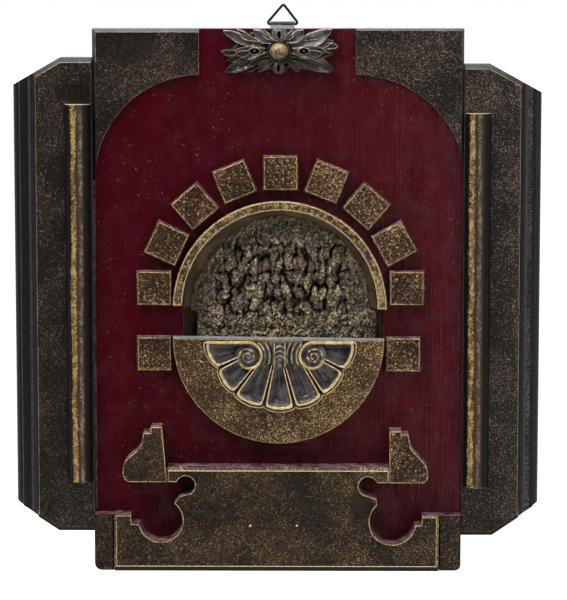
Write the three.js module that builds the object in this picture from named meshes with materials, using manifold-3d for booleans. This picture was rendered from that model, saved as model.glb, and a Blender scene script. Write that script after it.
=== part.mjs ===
// Painted wood relief that hangs on a wall: a red board between two moulded wings,
// with carved and bronzed pieces laid on it and a wire triangle on its back.
import * as THREE from "three";
import { mergeVertices } from "three/addons/utils/BufferGeometryUtils.js";
import Module from "manifold-3d";

const wasm = await Module();
wasm.setup();

// Sizes in millimetres. x runs right, y runs up and z comes out of the wall, all
// measured from the middle of the board's back.
const GAP = 0.3;
const ARRIS = 0.5;
const OVERRUN = 6;
const FINE_BEVEL = 0.8;

const BOARD = { halfWidth: 129, halfHeight: 190, thick: 18 };
const FACE = BOARD.thick + GAP;

// The wing is a moulded plank: field, step, cove, fillet and rounded bead
const WING = {
  inner: BOARD.halfWidth + GAP,
  thick: 21,
  fieldEdge: 168.6,
  coveTop: [169.6, 17.5],
  coveFoot: [174.6, 13],
  filletEdge: 180.3,
  beadTop: 10.5,
  beadSide: 6,
  beadInset: 4.1,
  coveFacets: 4,
  beadFacets: 5,
};
const LEFT_WING = {
  side: -1,
  outer: 185.3,
  bottom: -164,
  top: 169.7,
  topCut: [33.3, 19.1],
  bottomCut: [30.4, 20.2],
  innerChamfer: 0.3,
  endChamfer: 3.2,
};
const RIGHT_WING = {
  side: 1,
  outer: 184,
  bottom: -166.8,
  top: 165.3,
  topCut: [36.2, 19.9],
  bottomCut: [32.9, 22.4],
  innerChamfer: 0.3,
  endChamfer: 3.2,
};

const ROD = { width: 18.2, rise: 9.6, flat: 0.8, facets: 12 };
const LEFT_ROD = { x: -139, bottom: -127.1, top: 137.8 };
const RIGHT_ROD = { x: 139, bottom: -130.7, top: 131.7 };

const SPANDREL_THICK = 3;
const CURVE_FACETS = 20;
const LEFT_SPANDREL = { side: -1, inner: 54.7, centre: [54.2, 84.7], radius: 73.3, foot: 84.7, chamfer: 2.4 };
const RIGHT_SPANDREL = { side: 1, inner: 53.8, centre: [53.8, 81], radius: 77, foot: 100.8, chamfer: 1.3 };

// The niche is an apse cut into the board, with its foot behind the half disc
const NICHE = {
  x: 1.3,
  y: -4,
  radius: 67.4,
  left: -66.2,
  right: 74.4,
  step: -6,
  foot: -30,
  depth: 13.4,
  cove: 12,
  coveTurns: [0, 25, 50, 70, 90],
  facets: 36,
  overrun: 1,
};
const RING = { x: 1.3, y: -4.05, inner: 68, outer: 74.9, thick: 8, turn: -1, facets: 36 };

const BLOCK = { width: 24.7, height: 24.4, thick: 7, arris: 1.1 };
const ARCH = { x: 1.8, y: 1.5, radius: 88.6, step: 21.2, blocks: 9 };
const ARCH_LEAN = [0, 1.2, -1.6, 0.8, 0.4, -0.9, 1.4, 2.1, 0];
const LOWER_BLOCKS = [
  ["left_lower_block", -86.6, -36.6, 0.4],
  ["right_lower_block", 87.7, -37.1, -0.3],
];

const HALF_DISC = { x: 0.5, y: -25.5, radius: 74, thick: 12, turn: -0.6, bevel: 0.7, facets: 40 };
const DISC_FACE = FACE + HALF_DISC.thick + GAP;

// The shell opens downwards from its hinge in seven hollow lobes
const SHELL = {
  x: 2.4,
  y: -26.9,
  radius: 51.6,
  lobes: 7,
  scallop: 5.2,
  scallopPower: 0.6,
  rise: 11,
  fall: 0.45,
  least: 3.5,
  hollow: 5,
  hollowPower: 0.7,
  hollowRun: 1.6,
  rimFrom: 0.9,
  rimLift: 3.5,
  hingeShare: 0.12,
  columnsPerLobe: 6,
  rows: 8,
};
const VOLUTES = [
  [-19.6, -37.2],
  [24.8, -37.1],
];
const VOLUTE = {
  radius: 7.7,
  rise: 10.5,
  lip: 0.8,
  band: 0.72,
  groove: { outer: 0.6, inner: 0.42, depth: 1.8 },
  eye: { radius: 0.3, shoulder: 0.4, tip: 0.9 },
  facets: 24,
};
const STEM = {
  x: 1.7,
  width: 9.6,
  top: -27.2,
  bottom: -47.6,
  rise: 13.4,
  flat: 0.6,
  endFrom: 0.6,
  endSize: 0.28,
  steps: 8,
};

// The base overlay is a fretted plate with two round cuts at each side
const OVERLAY = {
  bottom: -190,
  top: -115.5,
  thick: 18,
  topChamfer: 2.3,
  bottomChamfer: 4.2,
  sideChamfer: 1.8,
};
const FRET_STEP = 0.6;
const BIG_CUT_FACETS = 22;
const SMALL_CUT_FACETS = 16;
const LEFT_FRET = {
  side: -1,
  edge: 115,
  shoulder: -149.5,
  shoulderEnd: 102.9,
  ledge: -155.4,
  bigCut: { x: 82, y: -153.2, r: 15.2, from: -10.6, to: -233 },
  lip: [69.2, -136],
  smallCut: { x: 64.6, y: -128.2, r: 6.5, from: -90, to: -340 },
  arm: -126,
  seam: 77.2,
};
const RIGHT_FRET = {
  side: 1,
  edge: 113,
  shoulder: -150.3,
  shoulderEnd: 101,
  ledge: -156.2,
  bigCut: { x: 80.3, y: -154.2, r: 15.9, from: -9, to: -229 },
  lip: [69.4, -137.5],
  smallCut: { x: 63.2, y: -128.7, r: 6.5, from: -90, to: -340 },
  arm: -126.5,
  seam: 77.7,
};
const LEFT_BRACKET = {
  side: -1,
  seam: 77.5,
  crownInner: 80.9,
  crownOuter: 89,
  crown: -86.8,
  step: -91,
  neck: 94.1,
  waist: [95, -97.5],
  nose: [108.9, -116.5],
  foot: 104.6,
  base: -126,
  facets: 8,
};
const RIGHT_BRACKET = {
  side: 1,
  seam: 78,
  crownInner: 78,
  crownOuter: 86.4,
  crown: -89.6,
  step: -92.1,
  neck: 91.4,
  waist: [92.6, -98.5],
  nose: [105.5, -119],
  foot: 102.2,
  base: -126.5,
  facets: 8,
};
const BRACKET_PULLS = { toe: 1.5, cheek: 1, brow: { in: 1.8, up: 5 }, throat: { out: 1, up: 10 }, chin: 6 };
const LEFT_CORNER = { side: -1, inner: 115.4, outer: 129, top: -150, thick: 12, round: 5, facets: 6 };
const RIGHT_CORNER = { side: 1, inner: 113.4, outer: 128.6, top: -150.6, thick: 12, round: 4.2, facets: 6 };

// The rosette's leaves, each from its root to its tip, measured from the ball
const ROSETTE = {
  x: 0.7,
  y: 174.1,
  halfWidth: 30,
  halfHeight: 11.5,
  corner: 6,
  ground: 2.2,
  ball: 6.3,
  ballFrom: 8,
  collar: 8.4,
  collarLip: 1.2,
  collarTop: 3.4,
  ballHeight: 4.4,
  facets: 20,
};
const LEAF = {
  stations: [0, 0.18, 0.4, 0.62, 0.82, 1],
  rootShare: 0.2,
  power: 0.8,
  least: 0.12,
  endRise: 0.75,
  shoulder: 0.7,
  vein: 0.7,
};
const LEAVES = [
  { root: [-10, 4.2], tip: [-37.6, 13.4], wide: 6, rise: 6.2 },
  { root: [-12, 6.4], tip: [-28.6, 15], wide: 4.6, rise: 6.8 },
  { root: [-3.5, 6], tip: [-17.4, 15], wide: 6, rise: 6.4 },
  { root: [-3.5, 7], tip: [-9.8, 15.4], wide: 4, rise: 7 },
  { root: [-27, 0.2], tip: [-40.4, 0.2], wide: 4.4, rise: 5 },
  { root: [-7, -3], tip: [-35.4, -5.8], wide: 6, rise: 6.6 },
  { root: [-8, -4.6], tip: [-37.4, -14.4], wide: 7, rise: 5.8 },
  { root: [-5, -5.6], tip: [-14.4, -14], wide: 5, rise: 6.4 },
  { root: [8, 3.6], tip: [35.4, 15.1], wide: 6.6, rise: 6.6 },
  { root: [18, 7.4], tip: [37, 7.4], wide: 6, rise: 5.6 },
  { root: [4, 6.4], tip: [16.6, 15.2], wide: 6, rise: 6.4 },
  { root: [3.4, 7], tip: [8.6, 15.4], wide: 4, rise: 7 },
  { root: [27, 1.6], tip: [39.4, 2.8], wide: 4.4, rise: 5 },
  { root: [8, -2.6], tip: [35.6, -2.6], wide: 6.4, rise: 6.2 },
  { root: [8.4, -4.2], tip: [36.6, -13.4], wide: 8.6, rise: 6 },
  { root: [6, -5.8], tip: [13.6, -13.6], wide: 5, rise: 6.4 },
];
const EYES = [
  { root: [-11.2, 0.6], tip: [-29.6, 0.2], wide: 7.4, rise: 8 },
  { root: [11.6, 0.4], tip: [29.6, 1.8], wide: 7.4, rise: 8 },
];
const EYE_HOLES = [
  [-16.4, 0.7],
  [16.5, 0.7],
];
const EYE_HOLE = { long: 2.5, high: 1.4, facets: 12 };
const BALL_STEPS = 6;
const BUD = { lip: 2, shoulder: 0.7, pit: 0.34, pitLip: 0.4, pitDepth: 3, facets: 14 };
const BUDS = [
  { x: 0, y: 11.2, r: 5, rise: 7.4 },
  { x: -0.4, y: -11.4, r: 4.3, rise: 6.2 },
];

// The rough mass is a field of knobs inside the niche
const GROTTO = {
  left: -60,
  right: 74.2,
  bottom: -29.6,
  top: 63,
  columns: 27,
  rows: 19,
  knob: 2.6,
  knobPower: 3.2,
  pitch: 7.4,
  tall: 1.3,
  margin: 4,
  slope: 16,
  edgeShare: 0.2,
  crownShare: 0.92,
  edgeKnob: 0.4,
};
const SCATTER = { column: 127.1, row: 311.7, gain: 43758.5, shift: 7 };

// The wire triangle swings in the rolled end of a strap let into the board's back
const WIRE = { radius: 0.9, sides: 8, bend: 1.15, bendSteps: 4, break: 0.25 };
const TRIANGLE = {
  z: 3,
  corners: [
    [-8.4, 192.7],
    [14.4, 192.7],
    [3.6, 206.6],
  ],
};
const STRAP = {
  x: 3,
  width: 17,
  thick: 0.65,
  rollInner: 1.2,
  tail: 166,
  rollFrom: 0,
  rollTo: 290,
  rollSteps: 14,
};
const POCKET = { x: 3, width: 32, foot: 160, depth: 5.4 };

// Outlines
const at = (x, y) => new THREE.Vector2(x, y);
const { degToRad } = THREE.MathUtils;

function arc(x, y, r, from, to, steps) {
  return Array.from({ length: steps + 1 }, (unused, i) => {
    const angle = degToRad(from + ((to - from) * i) / steps);
    return at(x + r * Math.cos(angle), y + r * Math.sin(angle));
  });
}

function inset(outline, distance) {
  const inward = THREE.ShapeUtils.isClockWise(outline) ? -distance : distance;
  const count = outline.length;
  return outline.map((point, i) => {
    const into = point.clone().sub(outline[(i + count - 1) % count]).normalize();
    const out = outline[(i + 1) % count].clone().sub(point).normalize();
    const normal = at(-into.y, into.x);
    const mitre = normal.clone().add(at(-out.y, out.x)).normalize();
    return point.clone().addScaledVector(mitre, inward / mitre.dot(normal));
  });
}

function rotated(outline, x, y, degrees) {
  const pivot = at(x, y);
  return outline.map((point) => point.clone().rotateAround(pivot, degToRad(degrees)));
}

const layer = (outline, z) => outline.map((point) => new THREE.Vector3(point.x, point.y, z));
const mirrored = (side, points) => points.map((point) => at(side * point.x, point.y));

// Solids from points and faces
function solid(points, faces) {
  const volume = faces.reduce((sum, unused, i) => {
    if (i % 3) return sum;
    const [a, b, c] = faces.slice(i, i + 3).map((index) => points[index]);
    return sum + a.dot(b.clone().cross(c));
  }, 0);
  const geometry = new THREE.BufferGeometry().setFromPoints(points);
  return geometry.setIndex(volume < 0 ? [...faces].reverse() : faces);
}

// Equal rings of points joined into a closed body, with a cap on each end
function loft(rings, section) {
  const count = section.length;
  const last = (rings.length - 1) * count;
  const faces = [];
  for (let start = 0; start < last; start += count) {
    for (let i = 0; i < count; i += 1) {
      const a = start + i;
      const b = start + ((i + 1) % count);
      faces.push(a, b, b + count, a, b + count, a + count);
    }
  }
  const turn = THREE.ShapeUtils.isClockWise(section) ? -1 : 1;
  for (const face of THREE.ShapeUtils.triangulateShape([...section], [])) {
    const [a, b, c] = turn > 0 ? face : [...face].reverse();
    faces.push(c, b, a, last + a, last + b, last + c);
  }
  return solid(rings.flat(), faces);
}

// A flat piece with a small bevel round its front face
function slab(outline, back, front, bevel = ARRIS) {
  const rings = [layer(outline, back), layer(outline, front - bevel), layer(inset(outline, bevel), front)];
  return loft(rings, outline);
}

// A section in x and z carried straight up from one height to another
function upright(section, bottom, top) {
  const ring = (y) => section.map((point) => new THREE.Vector3(point.x, y, point.y));
  return loft([ring(top), ring(bottom)], section);
}

// A carved surface over a grid, closed by its edges and a flat back
function carvedGrid(columns, rows, place, back) {
  const stride = columns + 1;
  const points = [];
  for (let j = 0; j <= rows; j += 1) {
    for (let i = 0; i <= columns; i += 1) points.push(place(i / columns, j / rows));
  }
  const faces = [];
  for (let j = 0; j < rows; j += 1) {
    for (let i = 0; i < columns; i += 1) {
      const a = j * stride + i;
      faces.push(a, a + 1, a + stride + 1, a, a + stride + 1, a + stride);
    }
  }
  const border = [];
  for (let i = 0; i < columns; i += 1) border.push(i);
  for (let j = 0; j < rows; j += 1) border.push(j * stride + columns);
  for (let i = columns; i > 0; i -= 1) border.push(rows * stride + i);
  for (let j = rows; j > 0; j -= 1) border.push(j * stride);
  const base = points.length;
  const outline = border.map((index) => at(points[index].x, points[index].y));
  points.push(...layer(outline, back));
  border.forEach((index, k) => {
    const next = (k + 1) % border.length;
    faces.push(index, base + k, base + next, index, base + next, border[next]);
  });
  const clockwise = THREE.ShapeUtils.isClockWise(outline);
  for (const face of THREE.ShapeUtils.triangulateShape([...outline], [])) {
    const [a, b, c] = clockwise ? [...face].reverse() : face;
    faces.push(base + c, base + b, base + a);
  }
  return solid(points, faces);
}

// Booleans
function toManifold(source) {
  const bare = source.clone();
  bare.deleteAttribute("normal");
  bare.deleteAttribute("uv");
  const merged = mergeVertices(bare, 1e-4);
  const vertProperties = new Float32Array(merged.attributes.position.array);
  const triVerts = new Uint32Array(merged.index.array);
  return new wasm.Manifold(new wasm.Mesh({ numProp: 3, vertProperties, triVerts }));
}

function toGeometry(manifold) {
  const { vertProperties, triVerts } = manifold.getMesh();
  const geometry = new THREE.BufferGeometry();
  geometry.setAttribute("position", new THREE.BufferAttribute(vertProperties, 3));
  return geometry.setIndex(new THREE.BufferAttribute(triVerts, 1));
}

const cut = (body, ...tools) =>
  toGeometry(tools.reduce((rest, tool) => rest.subtract(toManifold(tool)), toManifold(body)));
const join = (...bodies) => toGeometry(bodies.map(toManifold).reduce((whole, body) => whole.add(body)));
const common = (body, other) => toGeometry(toManifold(body).intersect(toManifold(other)));

function block(left, right, bottom, top, back, front) {
  const box = new THREE.BoxGeometry(right - left, top - bottom, front - back);
  return box.translate((left + right) / 2, (bottom + top) / 2, (back + front) / 2);
}

// A prism that takes a 45 degree chamfer off the front of a straight edge.
// The material lies on the left of the way from one end to the other.
function chamferTool(from, to, size, front) {
  const along = to.clone().sub(from).normalize();
  const out = at(along.y, -along.x);
  const section = [
    at(-size - OVERRUN, front + OVERRUN),
    at(OVERRUN, front - size - OVERRUN),
    at(OVERRUN, front + OVERRUN),
  ];
  const ring = (end, extra) =>
    section.map((point) => {
      const flat = end.clone().addScaledVector(along, extra).addScaledVector(out, point.x);
      return new THREE.Vector3(flat.x, flat.y, point.y);
    });
  return loft([ring(from, -OVERRUN), ring(to, OVERRUN)], section);
}

// Board
function nicheOutline(shrink) {
  const { x, y, radius, left, right, step, foot, facets } = NICHE;
  const round = arc(x, y, radius - shrink, 180, 0, facets);
  return [
    at(left + shrink, foot),
    at(left + shrink, y - NICHE.overrun),
    ...round,
    at(x + radius - shrink, step),
    at(right - shrink, step - GAP),
    at(right - shrink, foot),
  ];
}

// The niche wall falls in a quarter round from the board's face to the niche's back
function nicheBody(clearance) {
  const turns = NICHE.coveTurns.map(degToRad);
  const front = BOARD.thick + (clearance > 0 ? 0 : NICHE.overrun);
  const rings = turns.map((turn) => {
    const shrink = clearance + NICHE.cove * (1 - Math.cos(turn));
    const depth = (NICHE.depth - clearance) * Math.sin(turn);
    return layer(nicheOutline(shrink), turn > 0 ? BOARD.thick - depth : front);
  });
  return loft(rings, nicheOutline(clearance));
}

function centralBoard() {
  const { halfWidth, halfHeight, thick } = BOARD;
  const { x, width, foot, depth } = POCKET;
  const plank = block(-halfWidth, halfWidth, -halfHeight, halfHeight, 0, thick);
  const pocket = block(x - width / 2, x + width / 2, foot, halfHeight + OVERRUN, -OVERRUN, depth);
  return cut(plank, nicheBody(0), pocket);
}

// Wings and rods
function wingSection(wing) {
  const { inner, thick, fieldEdge, coveTop, coveFoot, filletEdge, beadTop, beadSide, beadInset } = WING;
  const [footX, footZ] = coveFoot;
  const [topX, topZ] = coveTop;
  const beadX = wing.outer - beadInset;
  const cove = arc(0, 0, 1, 180, 270, WING.coveFacets);
  const bead = arc(0, 0, 1, 90, 0, WING.beadFacets);
  return [
    at(inner, 0),
    at(inner, thick - wing.innerChamfer),
    at(inner + wing.innerChamfer, thick),
    at(fieldEdge, thick),
    ...cove.map((point) => at(footX + (footX - topX) * point.x, topZ + (topZ - footZ) * point.y)),
    at(filletEdge, footZ),
    ...bead.map((point) => at(beadX + beadInset * point.x, beadSide + (beadTop - beadSide) * point.y)),
    at(wing.outer, 0),
  ];
}

function wingOutline(wing) {
  const { outer, bottom, top, topCut, bottomCut } = wing;
  return [
    at(WING.inner, top),
    at(WING.inner, bottom),
    at(outer - bottomCut[0], bottom),
    at(outer, bottom + bottomCut[1]),
    at(outer, top - topCut[1]),
    at(outer - topCut[0], top),
  ];
}

function wing(data) {
  const section = mirrored(data.side, wingSection(data));
  const corners = wingOutline(data);
  const edges = [
    [corners[1], corners[2]],
    [corners[2], corners[3]],
    [corners[4], corners[5]],
    [corners[5], corners[0]],
  ];
  const chamfers = edges.map(([from, to]) => {
    const [start, end] = mirrored(data.side, data.side > 0 ? [from, to] : [to, from]);
    return chamferTool(start, end, data.endChamfer, WING.thick);
  });
  const outline = mirrored(data.side, corners);
  const plank = upright(section, data.bottom, data.top);
  const stencil = loft([layer(outline, -OVERRUN), layer(outline, WING.thick + OVERRUN)], outline);
  return cut(common(plank, stencil), ...chamfers);
}

// A rod is a strip with a low rounded front, like a flattened half round
function rod(data) {
  const half = ROD.width / 2;
  const back = WING.thick + GAP;
  const round = arc(0, 0, 1, 0, 180, ROD.facets).map((point) =>
    at(half * Math.sign(point.x) * Math.abs(point.x) ** ROD.flat, back + ROD.rise * point.y ** ROD.flat),
  );
  return upright(round, data.bottom, data.top).translate(data.x, 0, 0);
}

// Spandrels
function spandrel(data) {
  const { side, inner, centre, radius, foot, chamfer } = data;
  const outer = BOARD.halfWidth;
  const footTurn = THREE.MathUtils.radToDeg(Math.asin((foot - centre[1]) / radius));
  const sweep = arc(centre[0], centre[1], radius, footTurn, 90, CURVE_FACETS);
  const curve = sweep.filter((point) => point.x > inner + ARRIS);
  const outline = mirrored(side, [
    at(outer, foot),
    at(outer, BOARD.halfHeight),
    at(inner, BOARD.halfHeight),
    at(inner, centre[1] + radius),
    ...curve.reverse(),
  ]);
  const front = BOARD.thick + SPANDREL_THICK;
  const sideEdge = mirrored(side, [at(outer, foot), at(outer, BOARD.halfHeight)]);
  const topEdge = mirrored(side, [at(outer, BOARD.halfHeight), at(inner, BOARD.halfHeight)]);
  const tools = [sideEdge, topEdge].map((edge) => {
    const [from, to] = side > 0 ? edge : [...edge].reverse();
    return chamferTool(from, to, chamfer, front);
  });
  return cut(slab(outline, FACE, front, GAP), ...tools);
}

// Arch of blocks, ring and half disc
function squareBlock() {
  const { width, height, thick, arris } = BLOCK;
  const outline = [at(-width, -height), at(width, -height), at(width, height), at(-width, height)];
  return slab(outline.map((point) => point.multiplyScalar(1 / 2)), 0, thick - GAP, arris);
}

function archRing() {
  const { x, y, inner, outer, thick, turn, facets } = RING;
  const outline = [...arc(x, y, outer, 0, 180, facets), ...arc(x, y, inner, 180, 0, facets)];
  return slab(rotated(outline, x, y, turn), FACE, BOARD.thick + thick, FINE_BEVEL);
}

function halfDisc() {
  const { x, y, radius, thick, turn, bevel, facets } = HALF_DISC;
  return slab(rotated(arc(x, y, radius, 180, 360, facets), x, y, turn), FACE, FACE + thick, bevel);
}

// Shell
function lobeShare(turn) {
  return (turn * SHELL.lobes) % 1;
}

function shellRadius(turn) {
  const notch = 1 - Math.sin(Math.PI * lobeShare(turn)) ** SHELL.scallopPower;
  return SHELL.radius - SHELL.scallop * notch;
}

// Lobes are hollow between ribs, and the rim turns up at the edge
function shellHeight(turn, reach) {
  const { hollow, hollowPower, hollowRun, rise, fall, rimFrom, rimLift, least } = SHELL;
  const sag = hollow * Math.sin(Math.PI * lobeShare(turn)) ** hollowPower * Math.min(1, reach * hollowRun);
  const dome = rise * (1 - fall * reach ** 2);
  const rim = rimLift * Math.max(0, (reach - rimFrom) / (1 - rimFrom));
  return Math.max(least, dome - sag + rim);
}

function shellFan() {
  const { x, y, lobes, hingeShare, columnsPerLobe, rows } = SHELL;
  const place = (u, v) => {
    const turn = Math.min(u, 1 - Number.EPSILON);
    const reach = hingeShare + (1 - hingeShare) * v;
    const edge = shellRadius(turn) * reach;
    const angle = Math.PI * (1 + u);
    const height = DISC_FACE + shellHeight(turn, reach);
    return new THREE.Vector3(x + edge * Math.cos(angle), y + edge * Math.sin(angle), height);
  };
  return carvedGrid(lobes * columnsPerLobe, rows, place, DISC_FACE);
}

function volute(x, y) {
  const { radius, rise, lip, band, groove, eye, facets } = VOLUTE;
  const profile = [
    at(0, 0),
    at(radius, 0),
    at(radius, rise - lip),
    at(radius - lip, rise),
    at(radius * band, rise),
    at(radius * groove.outer, rise - groove.depth),
    at(radius * groove.inner, rise - groove.depth),
    at(radius * eye.radius, rise + eye.shoulder),
    at(0, rise + eye.tip),
  ];
  return new THREE.LatheGeometry(profile, facets).rotateX(Math.PI / 2).translate(x, y, DISC_FACE);
}

// The stem is a rounded column whose lower end draws in
function shellStem() {
  const { x, width, top, bottom, rise, flat, endFrom, endSize, steps } = STEM;
  const section = arc(0, 0, 1, 0, 180, steps);
  const ring = (share) => {
    const past = Math.max(0, (share - endFrom) / (1 - endFrom));
    const size = Math.max(endSize, Math.sqrt(1 - past ** 2));
    const y = top + (bottom - top) * share;
    return section.map((point) => {
      const height = DISC_FACE + rise * size * point.y ** flat;
      return new THREE.Vector3(x + (width / 2) * size * point.x, y, height);
    });
  };
  return loft(Array.from({ length: steps + 1 }, (unused, i) => ring(i / steps)), section);
}

const shell = () => join(shellFan(), ...VOLUTES.map(([x, y]) => volute(x, y)), shellStem());

// Base overlay, brackets and corner blocks
// One side of the fretted edge, from the outer edge inwards and up to the seam
function fret(data) {
  const { edge, shoulder, shoulderEnd, ledge, bigCut, lip, smallCut, arm, seam } = data;
  const big = arc(bigCut.x, bigCut.y, bigCut.r, bigCut.from, bigCut.to, BIG_CUT_FACETS);
  const small = arc(smallCut.x, smallCut.y, smallCut.r, smallCut.from, smallCut.to, SMALL_CUT_FACETS);
  return [
    at(edge, shoulder),
    at(shoulderEnd, shoulder),
    at(shoulderEnd - FRET_STEP, ledge),
    ...big,
    at(lip[0], lip[1]),
    ...small,
    at(smallCut.x + smallCut.r + FRET_STEP, arm),
    at(seam, arm),
  ];
}

function baseOverlay() {
  const { bottom, top, thick, topChamfer, bottomChamfer, sideChamfer } = OVERLAY;
  const right = mirrored(RIGHT_FRET.side, fret(RIGHT_FRET));
  const left = mirrored(LEFT_FRET.side, fret(LEFT_FRET)).reverse();
  const outline = [
    at(-LEFT_FRET.edge, bottom),
    at(RIGHT_FRET.edge, bottom),
    ...right,
    at(RIGHT_FRET.seam, top),
    at(-LEFT_FRET.seam, top),
    ...left,
  ];
  const front = BOARD.thick + thick;
  const tools = [
    chamferTool(at(RIGHT_FRET.seam, top), at(-LEFT_FRET.seam, top), topChamfer, front),
    chamferTool(at(-LEFT_FRET.edge, bottom), at(RIGHT_FRET.edge, bottom), bottomChamfer, front),
    chamferTool(at(RIGHT_FRET.edge, bottom), at(RIGHT_FRET.edge, RIGHT_FRET.shoulder), sideChamfer, front),
    chamferTool(at(-LEFT_FRET.edge, LEFT_FRET.shoulder), at(-LEFT_FRET.edge, bottom), sideChamfer, front),
  ];
  return cut(slab(outline, FACE, front), ...tools);
}

// A bracket has a stepped crown, a hollow neck and a round nose
function bracket(data) {
  const { side, seam, crownInner, crownOuter, crown, step, neck, waist, nose, foot, base, facets } = data;
  const [waistX, waistY] = waist;
  const [noseX, noseY] = nose;
  const { toe, cheek, brow, throat, chin } = BRACKET_PULLS;
  const browAt = [noseX - brow.in, noseY + brow.up];
  const profile = new THREE.Shape();
  profile.moveTo(seam, base);
  profile.lineTo(foot, base);
  profile.bezierCurveTo(noseX, base + toe, noseX + cheek, noseY - cheek, ...browAt);
  profile.bezierCurveTo(noseX - brow.up, noseY + throat.up, waistX + throat.out, waistY - chin, ...waist);
  profile.lineTo(neck, step);
  profile.lineTo(crownOuter, step);
  profile.lineTo(crownOuter, crown);
  profile.lineTo(crownInner, crown);
  return slab(mirrored(side, profile.getPoints(facets)), FACE, BOARD.thick + OVERLAY.thick);
}

function cornerBlock(data) {
  const { side, inner, outer, top, thick, round, facets } = data;
  const bottom = -BOARD.halfHeight;
  const outline = [
    at(inner, top),
    at(inner, bottom),
    ...arc(outer - round, bottom + round, round, -90, 0, facets),
    at(outer, top),
  ];
  return slab(mirrored(side, outline), FACE, FACE + thick, FINE_BEVEL);
}

// Rosette
// A leaf's section has two raised rims and a hollow between them
function leafSection(half, height) {
  const { shoulder, vein } = LEAF;
  return [
    at(-half, 0),
    at(half, 0),
    at(half * shoulder, height),
    at(0, height * vein),
    at(-half * shoulder, height),
  ];
}

function leaf({ root, tip, wide, rise }) {
  const { stations, rootShare, power, least, endRise } = LEAF;
  const from = at(root[0], root[1]);
  const way = at(tip[0], tip[1]).sub(from);
  const across = at(-way.y, way.x).normalize();
  const rings = stations.map((share) => {
    const swell = Math.sin(Math.PI * (rootShare + (1 - rootShare) * share));
    const half = (wide / 2) * Math.max(least, Math.max(0, swell) ** power);
    const height = rise * (endRise + (1 - endRise) * Math.sin(Math.PI * share));
    const middle = from.clone().addScaledVector(way, share);
    return leafSection(half, height).map((spot) => {
      const point = middle.clone().addScaledVector(across, spot.x);
      return new THREE.Vector3(point.x, point.y, spot.y);
    });
  });
  return loft(rings, leafSection(1, 1));
}

function bud({ x, y, r, rise }) {
  const { lip, shoulder, pit, pitLip, pitDepth, facets } = BUD;
  const profile = [
    at(0, 0),
    at(r, 0),
    at(r, rise - lip),
    at(r * shoulder, rise),
    at(r * pit, rise - pitLip),
    at(0, rise - pitDepth),
  ];
  return new THREE.LatheGeometry(profile, facets).rotateX(Math.PI / 2).translate(x, y, 0);
}

function eyeHole(x, y) {
  const hole = new THREE.CylinderGeometry(1, 1, 1, EYE_HOLE.facets).rotateX(Math.PI / 2);
  return hole.scale(EYE_HOLE.long, EYE_HOLE.high, OVERRUN).translate(x, y, ROSETTE.ground + OVERRUN / 2);
}

// The ground is a thin plate with its corners taken off
function rosetteGround() {
  const { halfWidth, halfHeight, corner, ground } = ROSETTE;
  const outline = [
    at(corner - halfWidth, -halfHeight),
    at(halfWidth - corner, -halfHeight),
    at(halfWidth, corner - halfHeight),
    at(halfWidth, halfHeight - corner),
    at(halfWidth - corner, halfHeight),
    at(corner - halfWidth, halfHeight),
    at(-halfWidth, halfHeight - corner),
    at(-halfWidth, corner - halfHeight),
  ];
  return slab(outline, 0, ground);
}

function rosetteBall() {
  const { ball, ballFrom, collar, collarLip, collarTop, ballHeight, facets } = ROSETTE;
  const round = arc(0, ballHeight, ball, ballFrom, 90, BALL_STEPS);
  round[BALL_STEPS].x = 0;
  const ring = [at(collar, 0), at(collar, collarTop), at(collar - collarLip, ballHeight)];
  return new THREE.LatheGeometry([at(0, 0), ...ring, ...round], facets).rotateX(Math.PI / 2);
}

function rosette() {
  const carved = join(rosetteGround(), ...LEAVES.map(leaf), ...EYES.map(leaf));
  const pierced = cut(carved, ...EYE_HOLES.map(([x, y]) => eyeHole(x, y)));
  return join(pierced, ...BUDS.map(bud), rosetteBall()).translate(ROSETTE.x, ROSETTE.y, FACE);
}

// Rough mass in the niche
function scatter(i, j) {
  const value = Math.sin(i * SCATTER.column + j * SCATTER.row) * SCATTER.gain;
  return value - Math.floor(value);
}

// Upright knobs on a jittered grid, the nearest one setting the height
function knobHeight(x, y) {
  const { pitch, tall, knob, knobPower } = GROTTO;
  const row = y / (pitch * tall);
  const column = x / pitch;
  let nearest = Infinity;
  for (let j = Math.floor(row) - 1; j <= row + 1; j += 1) {
    for (let i = Math.floor(column) - 1; i <= column + 1; i += 1) {
      const dx = i + scatter(i, j) - column;
      const dy = j + scatter(j, i + SCATTER.shift) - row;
      nearest = Math.min(nearest, dx * dx + dy * dy);
    }
  }
  return knob * Math.max(-1, 1 - knobPower * nearest);
}

// The mass stands highest in the middle and slopes back to the niche's wall all round
function grottoHeight(x, y) {
  const { margin, slope, edgeShare, crownShare, edgeKnob } = GROTTO;
  const aside = Math.hypot(x - NICHE.x, Math.max(0, y - NICHE.y));
  const inCorner = y < NICHE.step && x > 0;
  const toWall = inCorner ? NICHE.right - x : NICHE.radius - margin - aside;
  const share = THREE.MathUtils.clamp(toWall / slope, 0, 1);
  const crown = BOARD.thick - NICHE.depth + NICHE.depth * (edgeShare + (crownShare - edgeShare) * share);
  return Math.min(BOARD.thick - GAP, crown + knobHeight(x, y) * (edgeKnob + (1 - edgeKnob) * share));
}

function grottoMass() {
  const { left, right, bottom, top, columns, rows } = GROTTO;
  const place = (u, v) => {
    const x = left + (right - left) * u;
    const y = bottom + (top - bottom) * v;
    return new THREE.Vector3(x, y, grottoHeight(x, y));
  };
  return common(carvedGrid(columns, rows, place, 0), nicheBody(GAP));
}

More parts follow.
